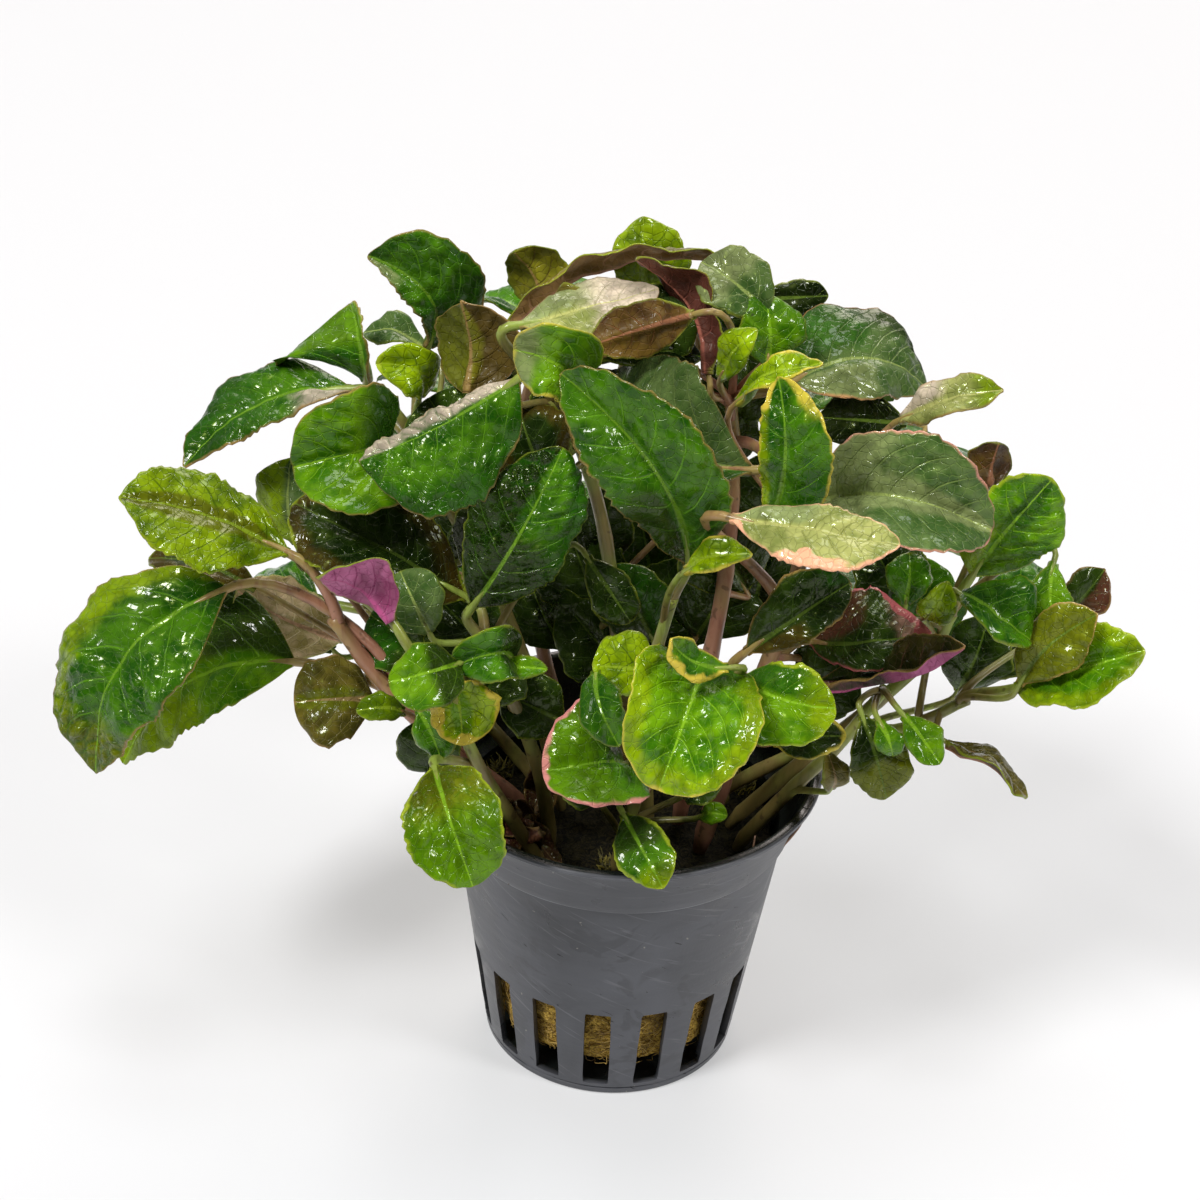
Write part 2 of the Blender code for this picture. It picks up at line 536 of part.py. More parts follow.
def make_shoot(name, parts, cutters):
    """A stem with its stalks and small leaves grown together into one piece."""
    points = [Vector(point) for point in STEMS[name]]
    taper = [STEM_RADIUS * (1 - STEM_TAPER * i / (len(points) - 1)) for i in range(len(points))]
    material = make_material(name, COLOURS["stem"], STEM_ROUGHNESS)
    stem = make_tube(name, points, taper, STEM_SIDES, parts, material)
    grown = bpy.data.collections.new(name + "_growth")
    cutters.children.link(grown)
    for leaf_name, row in LEAVES.items():
        if row["shoot"] != name:
            continue
        start = stem_point(points, min(row["along"], HIGHEST_STALK))
        radius = STALK_RADIUS if row["solo"] else SMALL_STALK_RADIUS
        radii = [radius * share for share in STALK_TAPER]
        stalk = make_tube(leaf_name + "_stalk", stalk_points(start, row), radii, STALK_SIDES, grown)
        make_cutter(stalk)
        if not row["solo"]:
            make_cutter(make_blade(leaf_name, row, SMALL_ROWS, SMALL_COLUMNS, grown))
    join = stem.modifiers.new("growth", "BOOLEAN")
    join.operation = "UNION"
    join.operand_type = "COLLECTION"
    join.collection = grown
    return stem


def main():
    clear_scene()
    parts = new_collection("potted_mini_cardinal_flower")
    cutters = new_collection("cutters")
    make_pot(parts, cutters)
    make_plug(parts)
    for name in STEMS:
        make_shoot(name, parts, cutters)
    for name, row in LEAVES.items():
        if row["solo"]:
            material = make_material(name, COLOURS[row["colour"]], BLADE_ROUGHNESS)
            columns = BROAD_COLUMNS if row["width"] >= BROAD_BLADE else NARROW_COLUMNS
            make_blade(name, row, BLADE_ROWS, columns, parts, material)


main()
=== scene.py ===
# %% [markdown]
# A nursery pot of mini cardinal flower stands on a pale table: a slotted plastic pot, a wet plug of
# mineral wool, a dozen and more leaning shoots, and over a hundred small glossy leaves. The packed
# model already holds all of it at its true size, as plain solids. This lesson gives each solid its
# real surface. It could be done by painting the solids, but flat blades of four faces would still
# look like card, so every stem and leaf is made again, finely, on the same lines as its solid.

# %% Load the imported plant
import math
import bmesh
import bpy
import numpy as np
from mathutils import Matrix, Vector


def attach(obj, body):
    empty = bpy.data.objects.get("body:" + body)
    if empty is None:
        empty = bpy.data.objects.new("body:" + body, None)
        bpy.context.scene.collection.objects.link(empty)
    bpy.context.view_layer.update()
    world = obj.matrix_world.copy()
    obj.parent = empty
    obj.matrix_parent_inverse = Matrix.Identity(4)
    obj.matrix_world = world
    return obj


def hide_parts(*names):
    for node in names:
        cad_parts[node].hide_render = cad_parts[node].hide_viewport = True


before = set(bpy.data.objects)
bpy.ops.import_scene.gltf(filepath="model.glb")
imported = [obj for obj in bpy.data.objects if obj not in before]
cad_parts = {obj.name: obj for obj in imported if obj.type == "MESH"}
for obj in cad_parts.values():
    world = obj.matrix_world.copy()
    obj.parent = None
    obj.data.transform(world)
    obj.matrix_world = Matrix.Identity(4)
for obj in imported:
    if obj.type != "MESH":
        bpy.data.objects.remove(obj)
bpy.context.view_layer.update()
MM = 0.001

# %% [markdown]
# The picture was taken from above the rim, with a long lens a third of a metre away. The rim of the
# pot is a circle, and how flat its ellipse looks in the picture gives the camera's dip. The camera is
# set from three angles instead of being aimed at a target, because the pot stands a little askew in
# the frame, and a roll is easier to read as an angle.

# %% Camera
CAMERA_PLACE = (0.0, -280.0, 240.6)
CAMERA_TURN = -0.86
CAMERA_DIP = 31.48
CAMERA_ROLL = 2.95
LENS = 75.69


def make_camera():
    data = bpy.data.cameras.new("camera")
    data.sensor_width = 36.0
    data.lens = LENS
    data.clip_start = 0.01
    camera = bpy.data.objects.new("camera", data)
    bpy.context.scene.collection.objects.link(camera)
    turn, dip = math.radians(CAMERA_TURN), math.radians(CAMERA_DIP)
    ahead = Vector((math.sin(turn) * math.cos(dip), math.cos(turn) * math.cos(dip), -math.sin(dip)))
    right = ahead.cross(Vector((0, 0, 1))).normalized()
    level = Matrix((right, right.cross(ahead), -ahead)).transposed()
    rolled = level @ Matrix.Rotation(math.radians(CAMERA_ROLL), 3, "Z")
    camera.matrix_world = Matrix.Translation(Vector(CAMERA_PLACE) * MM) @ rolled.to_4x4()
    bpy.context.scene.camera = camera
    return camera


print("camera at", [round(v, 3) for v in make_camera().matrix_world.translation])

# %% [markdown]
# The studio is a white table that glows a little, so shadows on it stay faint, under soft boxes. A
# small bright one in front at the left gives the crisp wet highlights, a wide warm one behind gives
# the pale glare on leaves that lie flat, and the room is dark on the viewer's side, which keeps the
# greens deep. A sky texture would do too, but its sun makes hard shadows that a studio hasn't.

# %% Floor and light
FLOOR_SIZE = 12.0
FLOOR_COLOUR = (0.40, 0.40, 0.405, 1.0)
FLOOR_GLOW = 0.37
ROOM_COLOUR = (0.95, 0.97, 1.0, 1.0)
ROOM_DARK = 0.025
ROOM_BRIGHT = 0.20
SOFT_BOXES = {
    "box_left": {"place": (-1.0, -0.95, 1.9), "width": 0.50, "watts": 44.0, "colour": (1.0, 1.0, 1.0)},
    "box_behind": {"place": (0.3, 1.9, 1.45), "width": 1.4, "watts": 31.0, "colour": (1.0, 0.90, 0.84)},
    "box_right": {"place": (1.3, -0.7, 1.5), "width": 0.36, "watts": 16.0, "colour": (1.0, 1.0, 1.0)},
    "box_top": {"place": (0.0, 0.1, 2.4), "width": 0.8, "watts": 17.0, "colour": (0.96, 0.98, 1.0)},
}
PLANT_MIDDLE = Vector((0.0, 0.0, 0.065))


def make_floor():
    floor = bmesh.new()
    bmesh.ops.create_grid(floor, x_segments=1, y_segments=1, size=FLOOR_SIZE / 2)
    mesh = bpy.data.meshes.new("table_top")
    floor.to_mesh(mesh)
    floor.free()
    table = bpy.data.objects.new("table_top", mesh)
    table.location.z = -0.0001
    bpy.context.scene.collection.objects.link(table)
    material = bpy.data.materials.new("white_table")
    material.use_nodes = True
    shader = material.node_tree.nodes["Principled BSDF"].inputs
    shader["Base Color"].default_value = FLOOR_COLOUR
    shader["Roughness"].default_value = 0.8
    shader["Specular IOR Level"].default_value = 0.1
    shader["Emission Color"].default_value = (1.0, 1.0, 1.0, 1.0)
    shader["Emission Strength"].default_value = FLOOR_GLOW
    mesh.materials.append(material)


def make_soft_box(name, place, width, watts, colour):
    data = bpy.data.lights.new(name, "AREA")
    data.size = width
    data.energy = watts
    data.color = colour
    light = bpy.data.objects.new(name, data)
    light.location = place
    light.rotation_euler = (Vector(place) - PLANT_MIDDLE).to_track_quat("Z", "Y").to_euler()
    bpy.context.scene.collection.objects.link(light)


def make_room():
    """The room is brightest above and behind the plant, and darkest in front of it."""
    room = bpy.data.worlds.new("white_room")
    room.use_nodes = True
    tree = room.node_tree
    heading = tree.nodes.new("ShaderNodeTexCoord").outputs["Generated"]
    height = tree.nodes.new("ShaderNodeVectorMath")
    height.operation = "DOT_PRODUCT"
    height.inputs[1].default_value = (0.0, 0.62, 0.78)
    tree.links.new(heading, height.inputs[0])
    fade = tree.nodes.new("ShaderNodeMapRange")
    fade.interpolation_type = "SMOOTHSTEP"
    for socket, number in (("From Min", -0.2), ("From Max", 0.9),
                           ("To Min", ROOM_DARK), ("To Max", ROOM_BRIGHT)):
        fade.inputs[socket].default_value = number
    tree.links.new(height.outputs["Value"], fade.inputs["Value"])
    background = tree.nodes["Background"].inputs
    background["Color"].default_value = ROOM_COLOUR
    tree.links.new(fade.outputs["Result"], background["Strength"])
    bpy.context.scene.world = room


make_floor()
make_room()
for box_name, box in SOFT_BOXES.items():
    make_soft_box(box_name, **box)
bpy.context.scene.view_settings.view_transform = "Standard"
print("soft boxes:", ", ".join(SOFT_BOXES))

# %% [markdown]
# Materials are node trees. A handful of small helpers keeps each finish short enough to read: feed
# puts a link or a plain value into a socket, and the others add one node each and hand back its
# output. Node groups would also work, but plain functions leave every node in the open.

# %% Helpers for materials


def feed(tree, socket, value):
    if isinstance(value, bpy.types.NodeSocket):
        tree.links.new(value, socket)
    elif isinstance(value, tuple) and len(value) == 3 and socket.type == "RGBA":
        socket.default_value = (*value, 1.0)
    else:
        socket.default_value = value


def add_maths(tree, work, a, b=0.0, c=0.0):
    node = tree.nodes.new("ShaderNodeMath")
    node.operation = work
    for socket, value in zip(node.inputs, (a, b, c)):
        feed(tree, socket, value)
    return node.outputs[0]


def add_fade(tree, value, start, end, low=0.0, high=1.0):
    """Goes smoothly from low to high as value goes from start to end."""
    node = tree.nodes.new("ShaderNodeMapRange")
    node.interpolation_type = "SMOOTHSTEP"
    for name, number in (("From Min", start), ("From Max", end), ("To Min", low), ("To Max", high)):
        feed(tree, node.inputs[name], number)
    feed(tree, node.inputs["Value"], value)
    return node.outputs["Result"]


def add_mix(tree, share, first, second, way="MIX"):
    node = tree.nodes.new("ShaderNodeMix")
    node.data_type = "RGBA"
    node.blend_type = way
    feed(tree, node.inputs[0], share)
    feed(tree, node.inputs[6], first)
    feed(tree, node.inputs[7], second)
    return node.outputs[2]


def add_attribute(tree, name):
    node = tree.nodes.new("ShaderNodeAttribute")
    node.attribute_name = name
    return node


def add_noise(tree, places, scale, detail=2.0, warp=0.0):
    node = tree.nodes.new("ShaderNodeTexNoise")
    feed(tree, node.inputs["Vector"], places)
    feed(tree, node.inputs["Scale"], scale)
    feed(tree, node.inputs["Detail"], detail)
    feed(tree, node.inputs["Distortion"], warp)
    return node.outputs[0]


def add_noise_colour(tree, places, scale):
    """Three wandering numbers at once, to push a pattern about."""
    node = tree.nodes.new("ShaderNodeTexNoise")
    node.noise_dimensions = "2D"
    feed(tree, node.inputs["Vector"], places)
    feed(tree, node.inputs["Scale"], scale)
    feed(tree, node.inputs["Detail"], 0.0)
    return node.outputs["Color"]


def add_cells(tree, places, scale):
    """How far a point on the flat leaf is from the wall of its cell, 0 on the wall."""
    node = tree.nodes.new("ShaderNodeTexVoronoi")
    node.voronoi_dimensions = "2D"
    node.feature = "DISTANCE_TO_EDGE"
    feed(tree, node.inputs["Vector"], places)
    feed(tree, node.inputs["Scale"], scale)
    return node.outputs["Distance"]


def add_stretch(tree, places, factors):
    node = tree.nodes.new("ShaderNodeVectorMath")
    node.operation = "MULTIPLY"
    feed(tree, node.inputs[0], places)
    feed(tree, node.inputs[1], factors)
    return node.outputs[0]


def add_bump(tree, height, strength, distance):
    node = tree.nodes.new("ShaderNodeBump")
    feed(tree, node.inputs["Height"], height)
    feed(tree, node.inputs["Strength"], strength)
    feed(tree, node.inputs["Distance"], distance)
    return node.outputs["Normal"]


def new_material(name):
    """A material with its tree, its shader, and where each point lies on the resting plant."""
    material = bpy.data.materials.new(name)
    material.use_nodes = True
    tree = material.node_tree
    places = tree.nodes.new("ShaderNodeTexCoord").outputs["Object"]
    return material, tree, tree.nodes["Principled BSDF"].inputs, places


print("helpers ready")

# %% [markdown]
# A leaf of this plant is thick and puckered. The side veins lie in grooves, the skin between them
# swells up, and where it is wet it throws sharp white strokes of light. Colour runs from deep green
# to lime and bronze, often within one leaf, and the toothed margin may be gold, pink or orange, as
# if burnt. Each leaf mesh carries its own map: how far along the leaf a point is, how far from the
# midrib, the margin and the nearest small vein, how much of its second colour it has, and which
# colours those are. One function reads that map for all finishes. Painted images would give more
# freedom, but they would be fixed to one picture.

# %% Leaf colours
LOOKS = {
    "deep": {"dark": (0.008, 0.062, 0.002), "light": (0.062, 0.190, 0.003), "vein": (0.11, 0.29, 0.010),
             "rib": (0.17, 0.34, 0.02)},
    "bright": {"dark": (0.030, 0.125, 0.001), "light": (0.135, 0.300, 0.002), "vein": (0.20, 0.42, 0.010),
               "rib": (0.24, 0.46, 0.02)},
    "lime": {"dark": (0.080, 0.150, 0.001), "light": (0.280, 0.410, 0.002), "vein": (0.05, 0.11, 0.002),
             "rib": (0.28, 0.40, 0.02)},
    "grey": {"dark": (0.032, 0.075, 0.014), "light": (0.095, 0.150, 0.040), "vein": (0.19, 0.27, 0.07),
             "rib": (0.28, 0.35, 0.09)},
    # dark is the colour of the darkest leaves, and on leaves deep inside the bush it is painted shade as
    # well
    "dark": {"dark": (0.005, 0.016, 0.002), "light": (0.026, 0.055, 0.004), "vein": (0.050, 0.095, 0.012),
             "rib": (0.10, 0.16, 0.02)},
    "pale": {"dark": (0.17, 0.20, 0.045), "light": (0.38, 0.39, 0.12), "vein": (0.22, 0.24, 0.05),
             "rib": (0.42, 0.42, 0.13)},
    "brown": {"dark": (0.05, 0.042, 0.005), "light": (0.14, 0.11, 0.015), "vein": (0.20, 0.16, 0.04),
              "rib": (0.28, 0.18, 0.08)},
    "wine": {"dark": (0.018, 0.020, 0.003), "light": (0.060, 0.045, 0.010), "vein": (0.14, 0.06, 0.04),
             "rib": (0.26, 0.09, 0.10)},
}
TINTS = {
    "lime": (0.24, 0.36, 0.002), "olive": (0.15, 0.17, 0.005), "bright": (0.110, 0.255, 0.002),
    # black is painted shade, for leaf parts that lie in the shadow of other leaves
    "deep": (0.018, 0.100, 0.003), "dark": (0.012, 0.028, 0.003), "black": (0.003, 0.008, 0.001),
    # silver and beige are painted glare: the lamps' pale sheen on wet leaf tops, laid on as colour
    "silver": (0.25, 0.30, 0.11), "beige": (0.74, 0.60, 0.46), "brown": (0.085, 0.050, 0.006),
    "gold": (0.60, 0.48, 0.05), "rose": (0.60, 0.30, 0.24), "wine": (0.10, 0.030, 0.020),
}
UNDERSIDES = {
    "plain": {"dark": (0.10, 0.19, 0.03), "light": (0.20, 0.32, 0.06), "vein": (0.30, 0.42, 0.12),
              "rib": (0.34, 0.46, 0.14)},
    "olive": {"dark": (0.12, 0.12, 0.006), "light": (0.26, 0.24, 0.01), "vein": (0.10, 0.06, 0.01),
              "rib": (0.30, 0.18, 0.06)},
    "rose": {"dark": (0.22, 0.17, 0.05), "light": (0.50, 0.37, 0.23), "vein": (0.55, 0.46, 0.28),
             "rib": (0.50, 0.28, 0.18)},
    "umber": {"dark": (0.040, 0.018, 0.004), "light": (0.13, 0.075, 0.010), "vein": (0.16, 0.06, 0.02),
              "rib": (0.30, 0.12, 0.06)},
    "bronze": {"dark": (0.13, 0.07, 0.015), "light": (0.28, 0.16, 0.06), "vein": (0.34, 0.18, 0.10),
               "rib": (0.42, 0.20, 0.13)},
    "red": {"dark": (0.085, 0.022, 0.012), "light": (0.24, 0.065, 0.035), "vein": (0.34, 0.10, 0.07),
            "rib": (0.40, 0.13, 0.09)},
    "magenta": {"dark": (0.22, 0.045, 0.11), "light": (0.46, 0.13, 0.27), "vein": (0.26, 0.03, 0.12),
                "rib": (0.42, 0.07, 0.20)},
}
RIMS = {
    "plain": ((0.20, 0.24, 0.02), 0.16),
    "tan": ((0.34, 0.20, 0.06), 0.17),
    "lime": ((0.34, 0.42, 0.02), 0.40),
    "gold": ((0.62, 0.50, 0.06), 0.45),
    "gold_wide": ((0.66, 0.50, 0.06), 1.50),
    "pink": ((0.70, 0.25, 0.24), 0.95),
    "pink_thin": ((0.58, 0.24, 0.18), 0.30),
    "pink_wide": ((0.52, 0.11, 0.13), 3.40),
    "orange": ((0.62, 0.30, 0.13), 0.50),
    "orange_wide": ((0.86, 0.42, 0.26), 1.20),
}
print("leaf looks:", len(LOOKS), "undersides:", len(UNDERSIDES), "rims:", len(RIMS))

# %% Leaf finish
SHEEN_TINT = (0.75, 0.95, 0.20, 1.0)
NET_SCALE = 0.95
FINE_NET_SCALE = 2.3
SKIN_RELIEF = 0.00036


def read_three(tree, name):
    """The three numbers that a mesh keeps under one name."""
    split = tree.nodes.new("ShaderNodeSeparateXYZ")
    feed(tree, split.inputs[0], add_attribute(tree, name).outputs["Vector"])
    return split.outputs


def leaf_lines(tree, cloud):
    """Where the side veins and the two nets of small veins run, each 1 on its line."""
    along, from_rib, from_edge = read_three(tree, "leaf_place")
    vein_row, cell_edge, pucker = read_three(tree, "leaf_veins")
    flat = add_attribute(tree, "leaf_flat").outputs["Vector"]
    # The nearest side vein is where the row number is whole
    wobble = add_maths(tree, "MULTIPLY_ADD", cloud, 0.35, vein_row)
    beside = add_maths(tree, "PINGPONG", wobble, 0.5)
    side_vein = add_fade(tree, beside, 0.010, 0.050, 1.0, 0.0)
    side_vein = add_maths(tree, "MULTIPLY", side_vein, add_fade(tree, from_edge, 0.2, 2.6))
    bent = add_mix(tree, 0.22, flat, add_noise_colour(tree, flat, 0.8), "ADD")
    net = add_fade(tree, add_cells(tree, bent, NET_SCALE), 0.015, 0.085, 1.0, 0.0)
    fine_net = add_fade(tree, add_cells(tree, bent, FINE_NET_SCALE), 0.02, 0.14, 1.0, 0.0)
    rib_width = add_fade(tree, along, 0.0, 1.0, 0.36, 0.09)
    rib = add_fade(tree, add_maths(tree, "DIVIDE", from_rib, rib_width), 0.5, 1.1, 1.0, 0.0)
    return side_vein, net, fine_net, rib, cell_edge, pucker


def leaf_colour(tree, look, places, cloud, mottle, lines):
    """The skin's colour, with its veins, its second colours and its margin."""
    from_edge = read_three(tree, "leaf_place")[2]
    share, tone, rim_width = read_three(tree, "leaf_mix")
    side_vein, net, fine_net, rib, cell_edge, pucker = lines
    blotch = add_maths(tree, "MULTIPLY_ADD", mottle, 0.45, add_maths(tree, "MULTIPLY", cloud, 0.55))
    skin = add_mix(tree, add_fade(tree, blotch, 0.38, 0.62), look["dark"], look["light"])
    # The second colour creeps in unevenly, and streaks a little with the veins; silver and beige second
    # colours are painted glare, and black ones are painted shade
    edge_of_share = add_maths(tree, "MULTIPLY_ADD", add_maths(tree, "SUBTRACT", blotch, 0.5), 1.3, share)
    second = add_attribute(tree, "leaf_second").outputs["Color"]
    second = add_mix(tree, add_fade(tree, blotch, 0.36, 0.64, 0.5, 0.0), second, (0.0, 0.0, 0.0))
    skin = add_mix(tree, add_fade(tree, edge_of_share, 0.20, 0.80, 0.0, 0.95), skin, second)
    # Painted shade darkens the grooves between the cushions, and the small veins shine through
    painted_groove_shade = add_maths(tree, "MULTIPLY", add_fade(tree, cell_edge, 0.0, 0.30, 0.55, 0.0), pucker)
    skin = add_mix(tree, painted_groove_shade, skin, look["dark"])
    # Veins are faint where a further colour covers the skin
    plain = add_fade(tree, edge_of_share, 0.20, 0.80, 1.0, 0.30)
    skin = add_mix(tree, add_maths(tree, "MULTIPLY", fine_net, 0.08), skin, look["vein"])
    pale_net = add_maths(tree, "MULTIPLY", net, add_maths(tree, "MULTIPLY", plain, 0.24))
    skin = add_mix(tree, pale_net, skin, look["vein"])
    pale_side_vein = add_maths(tree, "MULTIPLY", side_vein, add_maths(tree, "MULTIPLY", plain, 0.72))
    skin = add_mix(tree, pale_side_vein, skin, look["vein"])
    skin = add_mix(tree, add_maths(tree, "MULTIPLY", rib, 0.80), skin, look["rib"])
    # The margin's tint wanders in and out, as a burn does
    wander = add_maths(tree, "MULTIPLY_ADD", add_noise(tree, places, 330.0, 2.0), 3.6, -1.15)
    reach = add_maths(tree, "MULTIPLY", wander, rim_width)
    tint = add_fade(tree, add_maths(tree, "SUBTRACT", from_edge, reach), -0.25, 0.30, 0.92, 0.0)
    skin = add_mix(tree, tint, skin, add_attribute(tree, "leaf_rim").outputs["Color"])
    shade = tree.nodes.new("ShaderNodeHueSaturation")
    feed(tree, shade.inputs["Value"], tone)
    feed(tree, shade.inputs["Color"], skin)
    return shade.outputs["Color"]


def leaf_material(name, look, wet):
    """One finish of leaf skin. wet is 1 on an upper side and less on an underside."""
    material, tree, shader, places = new_material(name)
    cloud = add_noise(tree, places, 150.0, 2.0)
    mottle = add_noise(tree, places, 520.0, 2.0)
    grain = add_noise(tree, places, 1500.0, 1.0)
    lines = leaf_lines(tree, cloud)
    feed(tree, shader["Base Color"], leaf_colour(tree, look, places, cloud, mottle, lines))
    # Wet patches mirror the lamps, and the skin beside them is satin
    patch = add_fade(tree, add_noise(tree, places, 95.0, 2.0, 0.6), 0.42, 0.58)
    feed(tree, shader["Roughness"], add_fade(tree, patch, 0.0, 1.0, 0.56 - 0.10 * wet, 0.52 - 0.28 * wet))
    side_vein, net, _, _, cell_edge, pucker = lines
    swell = add_maths(tree, "MULTIPLY", add_fade(tree, cell_edge, 0.0, 0.8), pucker)
    height = add_maths(tree, "MULTIPLY_ADD", side_vein, -0.55, swell)
    height = add_maths(tree, "MULTIPLY_ADD", net, -0.42, height)
    height = add_maths(tree, "MULTIPLY_ADD", mottle, 0.45, height)
    # The film of water rounds off what is smallest
    film = add_bump(tree, height, 0.55, SKIN_RELIEF)
    height = add_maths(tree, "MULTIPLY_ADD", mottle, 0.45, height)
    height = add_maths(tree, "MULTIPLY_ADD", grain, 0.15, height)
    feed(tree, shader["Normal"], add_bump(tree, height, 0.62, SKIN_RELIEF))
    shader["Specular IOR Level"].default_value = 0.22
    shader["Specular Tint"].default_value = SHEEN_TINT if wet == 1.0 else (1.0, 0.95, 0.8, 1.0)
    shader["Coat Weight"].default_value = 0.38 * wet
    shader["Coat Roughness"].default_value = 0.06
    feed(tree, shader["Coat Normal"], film)
    return material


upper_skins = {name: leaf_material("leaf_" + name, look, 1.0) for name, look in LOOKS.items()}
lower_skins = {name: leaf_material("leaf_under_" + name, look, 0.3) for name, look in UNDERSIDES.items()}
print("leaf finishes:", len(upper_skins) + len(lower_skins))

# %% [markdown]
# Every leaf is one row of a table, with the same numbers that its solid was made from: which shoot
# bears it, the two ends of its midrib, its width, the way it faces, and how it arches, bends, folds
# and curls. A row also says how the leaf looks. The leaves could be scattered at random, which is
# quicker, but this bush has a handful of leaves that anyone would miss, so they are listed one by one.

# %% The stems and the leaf table
STEM_FOOT = 35.4


def facing(turn, lift):
    """The way a blade faces: turn 0 is towards the viewer and 90 to the right, lift 90 is up."""
    a, e = math.radians(turn), math.radians(lift)
    return np.array((math.sin(a) * math.cos(e), -math.cos(a) * math.cos(e), math.sin(e)))


def leaf(shoot, along, base, tip, width, face, look="deep", **shape):
    """One leaf. Lengths are in millimetres, angles in degrees, and along is 0 to 1 up the stem."""
    row = {
        "shoot": shoot, "along": along, "base": np.array(base, float), "tip": np.array(tip, float),
        "width": width, "face": facing(*face), "look": look, "arch": 2.0, "at": 0.5, "sweep": 0.0,
        "fold": 12.0, "curl": -10.0, "left": 1.0, "right": 1.0, "outline": "oval", "solo": True,
        "rim": "plain", "rim_at": None, "under": "plain", "quilt": 1.0, "wave": 1.0, "pucker": 0.3,
        "second": (), "point": 0.2,
    }
    row.update(shape)
    return row


def small(*args, **shape):
    """A leaf whose solid is one with its shoot."""
    return leaf(*args, solo=False, **shape)


STEMS = {
    "shoot_left_low": [(-11, -5, STEM_FOOT), (-12, -5, 38), (-25, -8, 52), (-32, -8, 60), (-38, -8, 69)],
    "shoot_left_rear": [(-12, 4, STEM_FOOT), (-13, 5, 38), (-29, 11, 53), (-37, 11, 61)],
    "shoot_left_high": [(-8, 0, STEM_FOOT), (-12, 4, 50), (-18, 8, 64), (-25, 10, 76), (-30, 11, 84)],
    "shoot_left_mid": [(-9, -8, STEM_FOOT), (-11, -9, 48), (-15, -10, 60), (-19, -11, 69)],
    "shoot_front_left": [(-10, -13, STEM_FOOT), (-14, -16, 45), (-18, -18, 54), (-21, -18, 61)],
    "shoot_top": [(0, 2, STEM_FOOT), (-1, 4, 55), (-4, 6, 75), (-8, 7, 88), (-12, 6, 95)],
    "shoot_centre": [(4, -7, STEM_FOOT), (3, -8, 50), (3, -9, 64), (5, -11, 77)],
    "shoot_front": [(0, -13, STEM_FOOT), (1, -15, 44), (3, -16, 54), (5, -17, 63)],
    "shoot_right_mid": [(8, -2, STEM_FOOT), (10, 0, 55), (12, 4, 72), (12, 8, 86), (11, 9, 95)],
    "shoot_right": [(11, -7, STEM_FOOT), (14, -7, 50), (17, -7, 62), (20, -6, 74), (21, -5, 82)],
    "shoot_right_low": [(16, -6, STEM_FOOT), (22, -8, 46), (28, -9, 55), (33, -9, 64)],
    "shoot_far_right": [(15, -1, STEM_FOOT), (24, -2, 47), (33, -3, 58), (39, -3, 66), (41, -3, 72)],
    "shoot_right_out": [(14, 4, STEM_FOOT), (15, 4, 38), (28, 1, 49), (37, -3, 54), (44, -6, 61)],
    "shoot_back_left": [(-7, 9, STEM_FOOT), (-12, 14, 52), (-16, 18, 68), (-17, 20, 80), (-15, 20, 91)],
    "shoot_back_right": [(8, 10, STEM_FOOT), (11, 15, 52), (13, 19, 68), (13, 20, 82), (12, 19, 91)],
    "shoot_back": [(0, 13, STEM_FOOT), (0, 19, 50), (-1, 23, 66), (-2, 24, 80), (-3, 24, 91)],
}

